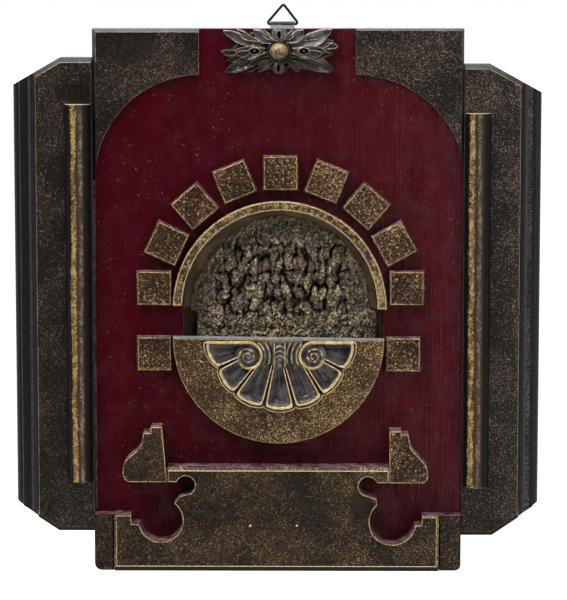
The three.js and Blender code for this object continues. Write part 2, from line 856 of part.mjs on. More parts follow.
// Hanger
// The strap's section: a flat tail and an open roll, drawn in z and y
function strapSection() {
  const pivotY = TRIANGLE.corners[0][1];
  const { thick, rollInner, tail, rollFrom, rollTo, rollSteps } = STRAP;
  const outside = arc(TRIANGLE.z, pivotY, rollInner + thick, rollFrom, rollTo, rollSteps);
  const inside = arc(TRIANGLE.z, pivotY, rollInner, rollTo, rollFrom, rollSteps);
  const board = TRIANGLE.z + rollInner + thick;
  return [at(board, tail), ...outside, ...inside, at(board - thick, tail)];
}

function hangerStrap() {
  const section = strapSection();
  const ring = (x) => section.map((point) => new THREE.Vector3(x, point.y, point.x));
  return loft([ring(STRAP.x - STRAP.width / 2), ring(STRAP.x + STRAP.width / 2)], section);
}

// The bent corner between two straight runs of wire
function bentCorner(before, corner, after) {
  const toBefore = before.clone().sub(corner).normalize();
  const toAfter = after.clone().sub(corner).normalize();
  const half = toBefore.angleTo(toAfter) / 2;
  const inward = toBefore.clone().add(toAfter).normalize();
  const centre = corner.clone().addScaledVector(inward, WIRE.bend / Math.sin(half));
  const start = corner.clone().addScaledVector(toBefore, WIRE.bend / Math.tan(half)).sub(centre);
  const sweep = Math.PI - 2 * half;
  return Array.from({ length: WIRE.bendSteps + 1 }, (unused, i) =>
    start.clone().rotateAround(at(0, 0), (sweep * i) / WIRE.bendSteps).add(centre),
  );
}

// The wire starts and ends in the middle of its base bar, inside the strap's roll
function hangerTriangle() {
  const corners = TRIANGLE.corners.map(([x, y]) => at(x, y));
  const [left, right, apex] = corners;
  const middle = left.clone().add(right).multiplyScalar(1 / 2);
  const path = [
    at(middle.x + WIRE.break, middle.y),
    ...bentCorner(left, right, apex),
    ...bentCorner(right, apex, left),
    ...bentCorner(apex, left, right),
    at(middle.x - WIRE.break, middle.y),
  ];
  const section = arc(0, 0, WIRE.radius, 0, 360 - 360 / WIRE.sides, WIRE.sides - 1);
  const rings = path.map((point, i) => {
    const before = path[Math.max(0, i - 1)];
    const after = path[Math.min(path.length - 1, i + 1)];
    const along = after.clone().sub(before).normalize();
    return section.map((spot) => {
      const flat = point.clone().addScaledVector(at(along.y, -along.x), spot.x);
      return new THREE.Vector3(flat.x, flat.y, TRIANGLE.z + spot.y);
    });
  });
  return loft(rings, section);
}

// Finishes
const RED = { color: "#430814", roughness: 0.28, metalness: 0 };
const BRONZE = { color: "#3a3020", roughness: 0.42, metalness: 0.35 };
const GILT = { color: "#a58a50", roughness: 0.4, metalness: 0.7 };
const DARK = { color: "#2b261f", roughness: 0.5, metalness: 0.2 };
const SLATE = { color: "#3a3a40", roughness: 0.4, metalness: 0.3 };
const WIRE_BLACK = { color: "#141414", roughness: 0.4, metalness: 0.8 };
const STEEL = { color: "#7d8078", roughness: 0.45, metalness: 0.9 };

const relief = new THREE.Group();
relief.rotation.x = Math.PI / 2;

function add(name, geometry, finish) {
  const mesh = new THREE.Mesh(geometry, new THREE.MeshStandardMaterial(finish));
  mesh.name = name;
  relief.add(mesh);
  return mesh;
}

function addBlock(name, x, y, degrees) {
  const mesh = add(name, squareBlock(), BRONZE);
  mesh.position.set(x, y, FACE);
  mesh.rotation.z = degToRad(degrees);
}

// The end blocks stand square and the rest lean with the arch
function addArch() {
  const middle = (ARCH.blocks - 1) / 2;
  ARCH_LEAN.forEach((lean, i) => {
    const turn = (middle - i) * ARCH.step;
    const angle = degToRad(90 + turn);
    const square = i === 0 || i === ARCH.blocks - 1;
    const x = ARCH.x + ARCH.radius * Math.cos(angle);
    const y = ARCH.y + ARCH.radius * Math.sin(angle);
    addBlock("arch_block_" + (i + 1), x, y, square ? 0 : turn + lean);
  });
}

add("central_board", centralBoard(), RED);
add("left_wing", wing(LEFT_WING), BRONZE);
add("right_wing", wing(RIGHT_WING), BRONZE);
add("left_rod", rod(LEFT_ROD), GILT);
add("right_rod", rod(RIGHT_ROD), GILT);
add("left_spandrel", spandrel(LEFT_SPANDREL), BRONZE);
add("right_spandrel", spandrel(RIGHT_SPANDREL), BRONZE);
add("rosette", rosette(), BRONZE);
addArch();
LOWER_BLOCKS.forEach(([name, x, y, degrees]) => addBlock(name, x, y, degrees));
add("arch_ring", archRing(), BRONZE);
add("grotto_mass", grottoMass(), DARK);
add("half_disc", halfDisc(), BRONZE);
add("shell", shell(), SLATE);
add("base_overlay", baseOverlay(), BRONZE);
add("left_bracket", bracket(LEFT_BRACKET), BRONZE);
add("right_bracket", bracket(RIGHT_BRACKET), BRONZE);
add("left_corner_block", cornerBlock(LEFT_CORNER), BRONZE);
add("right_corner_block", cornerBlock(RIGHT_CORNER), BRONZE);
add("hanger_strap", hangerStrap(), STEEL);
add("hanger_triangle", hangerTriangle(), WIRE_BLACK);

const plaque = new THREE.Group();
plaque.add(relief);

export default plaque;
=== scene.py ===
import math

import bmesh
import bpy
import numpy as np
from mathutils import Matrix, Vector


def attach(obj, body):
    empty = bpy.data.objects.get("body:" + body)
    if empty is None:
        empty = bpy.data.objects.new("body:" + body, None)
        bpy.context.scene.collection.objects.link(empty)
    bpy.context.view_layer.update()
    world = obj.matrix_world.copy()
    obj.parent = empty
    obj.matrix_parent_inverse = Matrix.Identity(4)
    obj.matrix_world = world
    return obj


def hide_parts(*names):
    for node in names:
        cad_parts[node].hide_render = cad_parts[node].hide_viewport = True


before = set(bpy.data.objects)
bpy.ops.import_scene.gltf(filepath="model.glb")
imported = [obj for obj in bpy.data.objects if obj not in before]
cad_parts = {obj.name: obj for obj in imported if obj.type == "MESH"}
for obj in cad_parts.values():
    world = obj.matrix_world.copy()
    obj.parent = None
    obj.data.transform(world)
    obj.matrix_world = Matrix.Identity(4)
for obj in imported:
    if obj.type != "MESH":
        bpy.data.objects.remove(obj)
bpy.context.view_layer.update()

# Sizes in millimetres in the relief's own frame: x right, y up, z out of the wall
MM = 0.001
BOARD_FRONT = 18.0
FACE = 18.3
DISC_FACE = 30.6
ON_BOARD = 18.02
ROD_CENTRE = 139.0
WING_TOP = 167.0
TINY = 1e-6

# The photograph: its height in pixels, the scale at the aim point and the camera's direction
PHOTO_ROWS = 600
MM_PER_PIXEL = 0.70
CAMERA = {"distance": 2000.0, "up": 7.0, "side": 0.6, "aim": (3.85, 0.8, 20.0), "sensor": 24.0}

NICHE = {
    "x": 1.3,
    "y": -4.0,
    "radius": 67.4,
    "left": -66.2,
    "right": 74.4,
    "foot": -30.0,
    "head": 70.0,
    "panel_top": -6.5,
    "depth_slack": 0.2,
}

# Widths of the rubbed arrises
ARRIS = 0.3
PLANK_ARRIS = 0.9
BLOCK_ARRIS = 0.4
CORNER_ARRIS = 0.2
STRAP_ARRIS = 0.1
WIRE_ARRIS = 0.05

# Where the finish of the flat pieces changes
PALE_EDGE = -127.7
POCKET = {"half": 30.0, "bottom": 150.0, "top": 189.0, "depth": 6.0}
MOULDING = {"start": 168.7, "step": 20.0, "foot": (172.7, 174.6), "fillet": 177.4, "low": 17.0}
WING_SCUFF = {"inner": 131.5, "outer": 172.0, "bottom": -155.0}
SPANDREL_EDGE = {"slope": 180.0, "top": 185.0, "outer": 120.0, "scuff": (125.5, 130.0)}
OVERLAY_LINES = (-183.0, -119.5)

# Dull smears on the paint: x, y, half width, half height and strength
SPANDREL_SMEAR = (-106.0, 180.0, 27.0, 16.0, 0.075)
PLATE_SMEAR = (58.0, -141.0, 8.0, 10.0, 0.2)
ROD_SMEAR = (-139.0, 144.0, 13.0, 6.5, 0.3)

# The shell's ribs, each from its root under the scrolls to its notch in the rim
RIBS = [
    ((-20.0, -27.4), (-49.7, -27.0)),
    ((-20.0, -34.2), (-40.7, -44.6)),
    ((-11.3, -38.0), (-30.0, -62.4)),
    ((-2.4, -39.5), (-9.8, -71.5)),
    ((3.6, -39.5), (12.0, -71.9)),
    ((15.9, -38.0), (30.7, -63.5)),
    ((24.0, -34.7), (44.8, -46.0)),
    ((24.8, -27.4), (52.8, -27.0)),
]
LOBES = len(RIBS) - 1
SHELL = {
    "middle": (1.4, -28.0),
    "bulge": 4.0,
    "crown": 9.0,
    "rim": 7.8,
    "hollow": 5.4,
    "wall": 2.5,
    "belly": 1.3,
    "groove": 1.3,
    "rib_gap": (0.75, 1.65),
    "rib_bead": 0.46,
    "rim_bead": 1.0,
    "bead_at": 0.925,
    "skirt": 0.9,
    "lip": 2.4,
    "line": 0.5,
    "line_out": 0.3,
    "line_rise": 4.6,
    "least": 0.6,
}
# Points across a lobe and down it, and along the beads on its rim and its ribs
FAN_GRID = (48, 90)
RIM_POINTS, END_RIM_POINTS, RIB_POINTS, LINE_POINTS = 44, 48, 26, 260
# The skirt's rows: share of its width and of the rim's height
SKIRT_ROWS = ((0.5, 0.62), (1.0, 0.12))
SOFTENER = np.array([1.0, 2.0, 3.0, 2.0, 1.0]) / 9.0
# Each scroll: centre, the side its curl starts from, and the corner its top bead comes from
SCROLLS = {"left": ((-20.6, -36.3), 1, (-49.4, -26.8)), "right": ((24.8, -36.3), -1, (52.4, -26.8))}
SCROLL_RADII = [9.9, 9.4, 8.1, 6.4, 5.1, 4.0, 3.6, 3.1, 2.5, 1.9, 1.3]
SCROLL = {
    "rise": 10.3,
    "climb": 1.2,
    "climb_turns": (2.6, 5.0),
    "bead": 1.05,
    "thin_bead": 0.65,
    "drum": 9.2,
    "floor": 8.3,
    "coil": 5.0,
    "points": (60, 130),
}
STEM = {
    "x": 1.4,
    "half": 15.5,
    "top": -26.6,
    "bottom": -46.4,
    "column": 4.6,
    "rise": 13.0,
    "reed": 3.3,
    "reed_floor": 9.0,
    "reed_rise": 2.0,
    "foot": 3.0,
    "least": 0.4,
    "rungs": (-28.8, -32.2, -35.6),
    "balls": ((-38.8, 1.7), (-42.4, 2.1)),
    "grid": (190, 130),
}

# The rosette, from its own middle: each leaf's root, tip, width and height
LEAVES = [
    ((-13, 5.4), (-38.6, 14.6), 7.6, 6.4),
    ((-14, 7.6), (-29.6, 15.4), 5.2, 7.0),
    ((-4.5, 6.5), (-17.2, 15.4), 8.4, 6.8),
    ((-4.0, 8.0), (-10.4, 15.4), 4.6, 7.4),
    ((-28, 0.2), (-40.4, 0.2), 5.2, 5.4),
    ((-8, -2.0), (-36.0, -6.4), 8.6, 6.6),
    ((-9, -4.0), (-37.6, -14.2), 10.0, 5.8),
    ((-9, -6.0), (-24.0, -14.4), 7.4, 5.0),
    ((-5, -6.0), (-14.6, -14.2), 6.4, 6.6),
    ((9, 4.2), (36.8, 15.2), 10.6, 6.8),
    ((18, 6.6), (37.6, 7.2), 8.0, 5.8),
    ((5, 7.0), (17.2, 15.4), 8.4, 6.8),
    ((4.0, 8.0), (9.4, 15.4), 4.6, 7.4),
    ((28, 2.0), (41.2, 3.0), 5.2, 5.4),
    ((9, -2.4), (36.6, -2.0), 8.8, 6.6),
    ((9, -3.6), (38.2, -13.4), 12.4, 6.0),
    ((6, -6.2), (14.0, -14.0), 6.4, 6.6),
]
EYE_LEAVES = [((-9.6, 0.6), (-31.0, 0.4), 10.4, 8.2), ((10.0, 0.5), (32.0, 1.4), 10.4, 8.2)]
# The eyes' pits with the side they open to, and the buds over and under the ball with size and height
EYE_PITS = [(-16.9, 0.6, -1), (17.2, 0.6, 1)]
EYE_HALF = (3.5, 2.1)
BUD_SLIT = (0.9, 2.3)
BUDS = [(0.2, 11.8, 5.6, 8.0), (-0.3, -11.2, 4.6, 6.6)]
ROSETTE = {
    "x": 0.7,
    "y": 174.1,
    "half": (42.6, 16.2),
    "step": 0.30,
    "ground": 2.0,
    "spread": (31.0, 11.6),
    "collar": 9.2,
    "collar_rise": 4.4,
    "ball": 6.5,
    "ball_rise": 4.2,
    "cut": 0.35,
}

GROTTO = {
    "left": -62.0,
    "right": 74.1,
    "bottom": -29.5,
    "top": 63.0,
    "step": 0.42,
    "foot_left": -58.0,
    "foot_right": 70.5,
    "foot_taper": 9.0,
    "rim_taper": 18.0,
    "edge": 4.7,
    "floor": 4.6,
    "crown": 8.8,
    "least": 3.6,
    "plain": ((34.0, 34.0), (11.0, 8.0)),
}
PINS = {
    "x": (("left", -19.2), ("right", 13.4)),
    "y": -156.6,
    "face": 36.2,
    "profile": [(0.7, 0.0), (0.7, 0.25), (0.4, 0.5)],
    "spokes": 16,
}

# The studio in metres: each lamp's place, size and power, the floor, and the sky,
# which is bright behind the relief and dark behind the camera
LAMPS = {
    "key": ((-0.95, -1.0, 1.45), (0.8, 0.8), 30.0),
    "fill": ((1.25, -1.1, 0.5), (0.7, 1.0), 9.0),
    "veil": ((0.85, -1.9, -0.1), (0.5, 1.3), 5.0),
    "top": ((0.0, -0.25, 1.3), (1.4, 0.5), 16.0),
}
FLOOR = {"size": 9.0, "near": -0.9, "far": 18.0, "height": -0.55, "glow": 0.55}
SKY = {"From Min": -0.45, "From Max": 0.35, "To Min": 0.05, "To Max": 1.0}
CLIP = (0.05, 60.0)


def mm(value):
    return value * MM


def place(x, y, z):
    """A point of the relief's frame in metres in the object's frame"""
    return (x * MM, -z * MM, y * MM)


# Numbers for surfaces
def smooth(value, low, high):
    """0 below low, 1 above high and a soft step between"""
    share = np.clip((value - low) / (high - low), 0.0, 1.0)
    return share * share * (3.0 - 2.0 * share)


def bump_at(distance, width):
    """1 at no distance, fading away over the width"""
    return np.exp(-((distance / width) ** 2))


# Multipliers that scatter whole numbers over 0 to 1
HASH = (127.1, 311.7, 74.7, 43758.5453)


def hashed(i, j, seed):
    value = np.sin(i * HASH[0] + j * HASH[1] + seed * HASH[2]) * HASH[3]
    return value - np.floor(value)


def value_noise(x, y, seed):
    i, j = np.floor(x), np.floor(y)
    fx, fy = x - i, y - j
    fx, fy = fx * fx * (3 - 2 * fx), fy * fy * (3 - 2 * fy)
    low = hashed(i, j, seed) * (1 - fx) + hashed(i + 1, j, seed) * fx
    high = hashed(i, j + 1, seed) * (1 - fx) + hashed(i + 1, j + 1, seed) * fx
    return (low * (1 - fy) + high * fy) * 2.0 - 1.0


def oval(x, y, middle, half):
    """Distance from a middle point, counted in half sizes"""
    return np.hypot((x - middle[0]) / half[0], (y - middle[1]) / half[1])


def grid_over(left, right, bottom, top, step):
    return np.meshgrid(np.arange(left, right, step), np.arange(bottom, top, step))


def layered_noise(x, y, size, seed, layers=3):
    total, amount = 0.0, 1.0
    for layer in range(layers):
        total = total + amount * value_noise(x / size, y / size, seed + layer)
        size, amount = size / 2.0, amount / 2.0
    return total


def knobs(x, y, wide, tall, seed, fill):
    """Upright rounded knobs on a jittered grid: their height from 0 to 1 and each one's own number"""
    column, row = x / wide, y / tall
    height = np.zeros(np.shape(x))
    number = np.zeros(np.shape(x))
    base_i, base_j = np.floor(column), np.floor(row)
    for dj in (-1, 0, 1):
        for di in (-1, 0, 1):
            i, j = base_i + di, base_j + dj
            dx = i + 0.2 + 0.6 * hashed(i, j, seed) - column
            dy = j + 0.2 + 0.6 * hashed(i, j, seed + 5) - row
            own = hashed(i, j, seed + 9)
            lean = 0.7 * (hashed(i, j, seed + 13) - 0.5)
            reach = ((dx + lean * dy) ** 2 + dy**2) / (fill * (0.75 + 0.5 * own)) ** 2
            dome = (0.55 + 0.45 * own) * np.sqrt(np.clip(1.0 - reach, 0.0, 1.0))
            number = np.where(dome > height, own, number)
            height = np.maximum(height, dome)
    return height, number


# Meshes
def add_object(name, data):
    thing = bpy.data.objects.new(name, data)
    bpy.context.scene.collection.objects.link(thing)
    return thing


def shade_smooth(mesh, angle):
    mesh.polygons.foreach_set("use_smooth", [True] * len(mesh.polygons))
    mesh.set_sharp_from_angle(angle=math.radians(angle))


def make_object(name, points, faces, paint, marks=None, smooth_angle=40.0):
    """A mesh piece on the plaque; marks are numbers from 0 to 1 on its points for the paint to read"""
    mesh = bpy.data.meshes.new(name)
    mesh.from_pydata([place(*p) for p in points], [], faces)
    bm = bmesh.new()
    bm.from_mesh(mesh)
    bmesh.ops.recalc_face_normals(bm, faces=bm.faces)
    bm.to_mesh(mesh)
    bm.free()
    mesh.materials.append(MATERIALS[paint])
    for key, values in (marks or {}).items():
        layer = mesh.attributes.new(key, "FLOAT", "POINT")
        layer.data.foreach_set("value", np.clip(values, 0, 1).astype(np.float32))
    shade_smooth(mesh, smooth_angle)
    piece = add_object(name, mesh)
    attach(piece, "plaque")
    return piece


def grid_faces(columns, rows, closed=False):
    """Quads over a grid of points stored row by row"""
    wide = columns if closed else columns + 1
    i, j = np.meshgrid(np.arange(columns), np.arange(rows))
    a = (j * wide + i).ravel()
    b = (j * wide + (i + 1) % wide).ravel()
    return np.stack([a, b, b + wide, a + wide], axis=1)


def carved_sheet(name, x, y, rise, paint, marks, foot_marks):
    """A grid of heights on the half disc, closed by walls round its border and one flat back face"""
    rows, columns = x.shape[0] - 1, x.shape[1] - 1
    index = np.arange(x.size).reshape(x.shape)
    border = np.concatenate([index[0, :-1], index[:-1, -1], index[-1, :0:-1], index[:0:-1, 0]])
    front = np.stack([x.ravel(), y.ravel(), DISC_FACE + rise.ravel()], axis=1)
    foot = front[border].copy()
    foot[:, 2] = DISC_FACE
    points = np.concatenate([front, foot])
    base = x.size + np.arange(len(border))
    walls = np.stack([border, base, np.roll(base, -1), np.roll(border, -1)], axis=1)
    faces = grid_faces(columns, rows).tolist() + walls.tolist() + [base.tolist()]
    for key, value in foot_marks.items():
        marks[key] = np.concatenate([marks[key].ravel(), np.full(len(border), value)])
    return make_object(name, points, faces, paint, marks, 60)


def swept(path, radii, sides=8):
    """A round bead of changing thickness along a path, with closed ends"""
    path = np.asarray(path, float)
    along = np.gradient(path, axis=0)
    along /= np.linalg.norm(along, axis=1)[:, None]
    across = np.cross(along, (0.0, 0.0, 1.0))
    across /= np.linalg.norm(across, axis=1)[:, None]
    outward = np.cross(across, along)
    turn = np.linspace(0.0, 2.0 * np.pi, sides, endpoint=False)
    cosine, sine = np.cos(turn)[None, :, None], np.sin(turn)[None, :, None]
    ring = cosine * across[:, None, :] + sine * outward[:, None, :]
    points = path[:, None, :] + ring * np.asarray(radii, float)[:, None, None]
    faces = grid_faces(sides, len(path) - 1, closed=True).tolist()
    last = (len(path) - 1) * sides
    faces += [list(range(sides))[::-1], [last + k for k in range(sides)]]
    return points.reshape(-1, 3), faces


def joined(parts):
    """Several lists of points and faces as one"""
    points, faces, start = [], [], 0
    for part_points, part_faces in parts:
        points.append(part_points)
        faces += [[index + start for index in face] for face in part_faces]
        start += len(part_points)
    return np.concatenate(points), faces


# Materials
NOISE_REACH = (0.3, 0.7)


class Graph:
    """Short calls for building one material's nodes"""

    def __init__(self, name):
        self.material = bpy.data.materials.new(name)
        self.material.use_nodes = True
        self.nodes = self.material.node_tree.nodes
        self.links = self.material.node_tree.links
        self.shader = self.nodes["Principled BSDF"]
        self.coordinates = self.node("TexCoord").outputs["Object"]

    def put(self, socket, value):
        if isinstance(value, bpy.types.NodeSocket):
            self.links.new(value, socket)
        elif isinstance(value, (tuple, list)) and len(socket.default_value) == 4:
            socket.default_value = (*value[:3], 1.0)
        else:
            socket.default_value = value

    def node(self, kind, **inputs):
        """A new node with its inputs set by name"""
        node = self.nodes.new("ShaderNode" + kind)
        for name, value in inputs.items():
            self.put(node.inputs[name.replace("_", " ")], value)
        return node

    def painted(self, colour, rough, normal=None, shine=0.5, metal=0.0):
        """The finished material, once its shader has its values"""
        inputs = self.shader.inputs
        self.put(inputs["Base Color"], colour)
        self.put(inputs["Roughness"], rough)
        self.put(inputs["Specular IOR Level"], shine)
        self.put(inputs["Metallic"], metal)
        if normal is not None:
            self.put(inputs["Normal"], normal)
        return self.material

    def noise(self, scale, detail=3.0, roughness=0.55, vector=None, seed=0.0):
        where = vector or self.coordinates
        node = self.node("TexNoise", Vector=where, Scale=scale, Detail=detail, Roughness=roughness)
        node.noise_dimensions = "4D"
        node.inputs["W"].default_value = seed
        return node.outputs["Fac"]

    def strokes(self, scale, detail, roughness=0.6, seed=0.0):
        """Noise drawn out along the axes that have the smaller scales"""
        mapping = self.node("Mapping", Vector=self.coordinates, Scale=scale)
        return self.noise(1.0, detail, roughness, mapping.outputs["Vector"], seed)

    def step(self, value, low, high, start=0.0, end=1.0):
        """A soft step from start to end while the value goes from low to high"""
        node = self.node("MapRange", Value=value, From_Min=low, From_Max=high, To_Min=start, To_Max=end)
        node.interpolation_type = "SMOOTHSTEP"
        return node.outputs["Result"]

    def vary(self, noise, start, end):
        """The usual reach of a noise spread over two values"""
        return self.step(noise, *NOISE_REACH, start, end)

    def math(self, operation, a, b=0.5):
        node = self.node("Math")
        node.operation = operation
        self.put(node.inputs[0], a)
        self.put(node.inputs[1], b)
        return node.outputs["Value"]

    def add(self, a, b):
        return self.math("ADD", a, b)

    def times(self, a, b):
        return self.math("MULTIPLY", a, b)

    def distance(self, value, line):
        """How far a coordinate is from a line given in millimetres"""
        return self.math("ABSOLUTE", self.math("SUBTRACT", value, mm(line)))

    def mix(self, share, a, b):
        node = self.node("Mix")
        node.data_type = "RGBA"
        self.put(node.inputs[0], share)
        self.put(node.inputs[6], a)
        self.put(node.inputs[7], b)
        return node.outputs[2]

    def attribute(self, name):
        node = self.node("Attribute")
        node.attribute_name = name
        return node.outputs["Fac"]

    def axis(self, name):
        return self.node("SeparateXYZ", Vector=self.coordinates).outputs[name]

    def spot(self, smear, cloud):
        """A soft, ragged oval patch on the front, given as a smear"""
        x, y, half_x, half_y, strength = smear
        ragged = self.vary(cloud, -0.35, 0.35)
        aside = self.math("DIVIDE", self.math("SUBTRACT", self.axis("X"), mm(x)), mm(half_x))
        above = self.math("DIVIDE", self.math("SUBTRACT", self.axis("Z"), mm(y)), mm(half_y))
        squares = self.add(self.times(aside, aside), self.times(above, above))
        return self.step(self.add(squares, ragged), 0.5, 1.3, strength, 0.0)

    def bump(self, height, distance, strength=1.0, normal=None):
        node = self.node("Bump", Height=height, Distance=mm(distance), Strength=strength)
        if normal is not None:
            self.put(node.inputs["Normal"], normal)
        return node.outputs["Normal"]


# Colours, linear
RED_LEFT = (0.046, 0.0009, 0.0040)
RED_RIGHT_LIT = (0.058, 0.0050, 0.0080)
RED_DARK = (0.030, 0.0010, 0.0030)
RED_EDGE_SHEEN = (0.105, 0.055, 0.060)
RED_NIB = (0.26, 0.11, 0.12)
LEDGE_RED = (0.075, 0.022, 0.026)
LEDGE_SHEEN_PINK = (0.30, 0.21, 0.22)
WING_GROUND = (0.0060, 0.0040, 0.0030)
WING_BROWN = (0.0150, 0.0095, 0.0065)
WING_DUST = (0.270, 0.215, 0.165)
PLATE_GROUND = (0.0070, 0.0042, 0.0026)
PLATE_BROWN = (0.0220, 0.0120, 0.0060)
PLATE_DUST = (0.38, 0.26, 0.125)
BLOCK_GROUND = (0.0150, 0.0060, 0.0042)
BLOCK_BROWN = (0.0400, 0.0170, 0.0095)
BLOCK_DUST = (0.70, 0.47, 0.225)
DISC_GROUND = (0.0240, 0.0120, 0.0060)
DISC_BROWN = (0.0460, 0.0260, 0.0110)
RING_GROUND = (0.0300, 0.0170, 0.0080)
RING_DUST = (0.44, 0.32, 0.150)
GOLD_DUST = (0.34, 0.24, 0.120)
GOLD_BRIGHT = (0.80, 0.60, 0.30)
GOLD_PALE = (0.60, 0.47, 0.26)
GOLD_EDGE = (0.42, 0.29, 0.12)
GOLD_DULL = (0.105, 0.068, 0.030)
BALL_GOLD = (0.27, 0.185, 0.075)
PIN_BRIGHT = (0.80, 0.72, 0.60)
ROCK_GOLD = (0.46, 0.37, 0.15)
ROCK_CREAM = (0.58, 0.44, 0.30)
ROCK_OLIVE = (0.205, 0.160, 0.098)
ROCK_PURPLE = (0.085, 0.052, 0.052)
ROCK_DARK = (0.034, 0.024, 0.017)
ROCK_BROWN = (0.165, 0.118, 0.088)
ROCK_OCHRE = (0.240, 0.185, 0.080)
ROCK_GREY = (0.130, 0.112, 0.106)
GOLD_ROD = (0.42, 0.285, 0.115)
ROD_END = (0.66, 0.60, 0.46)
ROD_END_DULL = (0.26, 0.22, 0.17)
ROD_HIGHLIGHT_GREY = (0.170, 0.130, 0.090)
ROD_BROWN = (0.038, 0.023, 0.012)
ROD_FLANK_SHADE = (0.0035, 0.0024, 0.0018)
SEAM_GREY = (0.110, 0.098, 0.088)
SEAM_BROWN = (0.036, 0.027, 0.021)
SLATE = (0.032, 0.027, 0.026)
SLATE_PALE = (0.108, 0.095, 0.094)
LEAF_BLUE = (0.105, 0.098, 0.112)
LEAF_BROWN = (0.046, 0.036, 0.029)
BROWN_BLACK = (0.014, 0.010, 0.008)
OLIVE = (0.040, 0.027, 0.014)
OLIVE_PALE = (0.085, 0.062, 0.036)
PANEL_DARK = (0.022, 0.009, 0.008)
PANEL_WARM = (0.040, 0.018, 0.014)
SIDE_DARK = (0.011, 0.009, 0.007)
SIDE_WARM = (0.020, 0.015, 0.011)
MOULD_BLACK = (0.0070, 0.0060, 0.0062)
MOULD_WARM = (0.012, 0.010, 0.010)
MOULD_HIGHLIGHT_GREY = (0.045, 0.043, 0.045)
MOULD_HIGHLIGHT_DIM = (0.022, 0.020, 0.021)
MOULD_DUST = (0.20, 0.195, 0.20)
CHAMFER_BLACK = (0.010, 0.010, 0.011)
CHAMFER_GREY = (0.022, 0.022, 0.024)
UNDER_SHADE_BLACK = (0.0040, 0.0040, 0.0028)
UNDER_SHADE_WARM = (0.006, 0.006, 0.005)
SHELF_SHEEN_GREY = (0.30, 0.33, 0.33)
SHELF_OLIVE = (0.20, 0.20, 0.17)
TOP_SHEEN_GREY = (0.30, 0.29, 0.30)
TOP_BROWN = (0.14, 0.11, 0.115)
TOP_SHEEN_LILAC = (0.085, 0.078, 0.098)
TOP_VIOLET = (0.055, 0.050, 0.060)
WIRE_BLACK = (0.006, 0.006, 0.007)
WIRE_WARM = (0.010, 0.009, 0.009)
WOOD_DARK = (0.11, 0.06, 0.03)
WOOD_PALE = (0.21, 0.125, 0.065)
STRAP_LIGHT = (0.36, 0.39, 0.32)
STRAP_ROLL_SHADE = (0.018, 0.018, 0.022)
FLOOR_GREY = (0.93, 0.93, 0.93)
FLOOR_WHITE = (0.96, 0.96, 0.96)
GOLD_METAL = 0.3

# Heights and places in metres where a paint changes along an axis
RED_LIGHT_SIDES = (-0.10, 0.13)
FLECK_LIGHT_SIDES = (-0.17, 0.17)
SHELL_LIT_LEFT = (-0.045, -0.012)
LEAF_BLUE_Z = (0.168, 0.180)
BALL_SHADE_Z = (0.1690, 0.1790)
STRAP_ROLL_Z = (0.1917, 0.1924)

# Scales along x, y and z of noises drawn out into strokes
RED_BRUSH = (620.0, 620.0, 26.0)
RED_BANDS = (70.0, 70.0, 12.0)
LEDGE_WISPS = (90.0, 700.0, 700.0)
ROD_STREAKS = (520.0, 520.0, 40.0)
WOOD_GRAIN = (260.0, 260.0, 9.0)
WOOD_BANDS = (46.0, 46.0, 3.0)


def red_paint():
    """Glossy oxblood with upright brush strokes, drips and trapped dust, painted lighter towards the right
    as if more light falls there
    """
    g = Graph("red_paint")
    streaks = g.strokes(RED_BRUSH, 4.0)
    bands = g.strokes(RED_BANDS, 2.0, 0.5, seed=6.0)
    # Painted light: the red turns lighter from left to right across the board
    colour = g.mix(g.step(g.axis("X"), *RED_LIGHT_SIDES), RED_LEFT, RED_RIGHT_LIT)
    colour = g.mix(g.step(streaks, 0.42, 0.68, 0.0, 0.55), colour, RED_DARK)
    colour = g.mix(g.step(bands, 0.45, 0.65, 0.0, 0.45), colour, RED_DARK)
    nib_zone = g.step(g.noise(60.0, 1.0, seed=8.0), 0.44, 0.60)
    nibs = g.times(g.step(g.noise(700.0, 1.0, 0.5, seed=3.0), 0.700, 0.76), nib_zone)
    rough = g.vary(g.noise(90.0, seed=5.0), 0.16, 0.30)
    lumpy = g.bump(g.noise(150.0, 2.0, seed=1.0), 0.30, 0.6, g.bump(streaks, 0.25, 0.7))
    return g.painted(g.mix(nibs, colour, RED_NIB), rough, g.bump(nibs, 0.35, 0.9, lumpy), shine=0.35)


def red_ledge():
    """Pooled red gloss on the upper sides of raised pieces, with painted pale pink sheen where it would
    catch the light from above
    """
    g = Graph("red_ledge")
    pools = g.noise(150.0, 3.0, 0.6, seed=4.0)
    wisps = g.strokes(LEDGE_WISPS, 3.0, seed=2.0)
    # Painted reflection: pale pink patches stand for the light above mirrored in the gloss
    pale = g.times(g.step(pools, 0.34, 0.62), g.step(wisps, 0.30, 0.62))
    normal = g.bump(g.noise(360.0, seed=7.0), 0.25, 0.7)
    return g.painted(g.mix(pale, LEDGE_RED, LEDGE_SHEEN_PINK), g.vary(pools, 0.22, 0.36), normal)


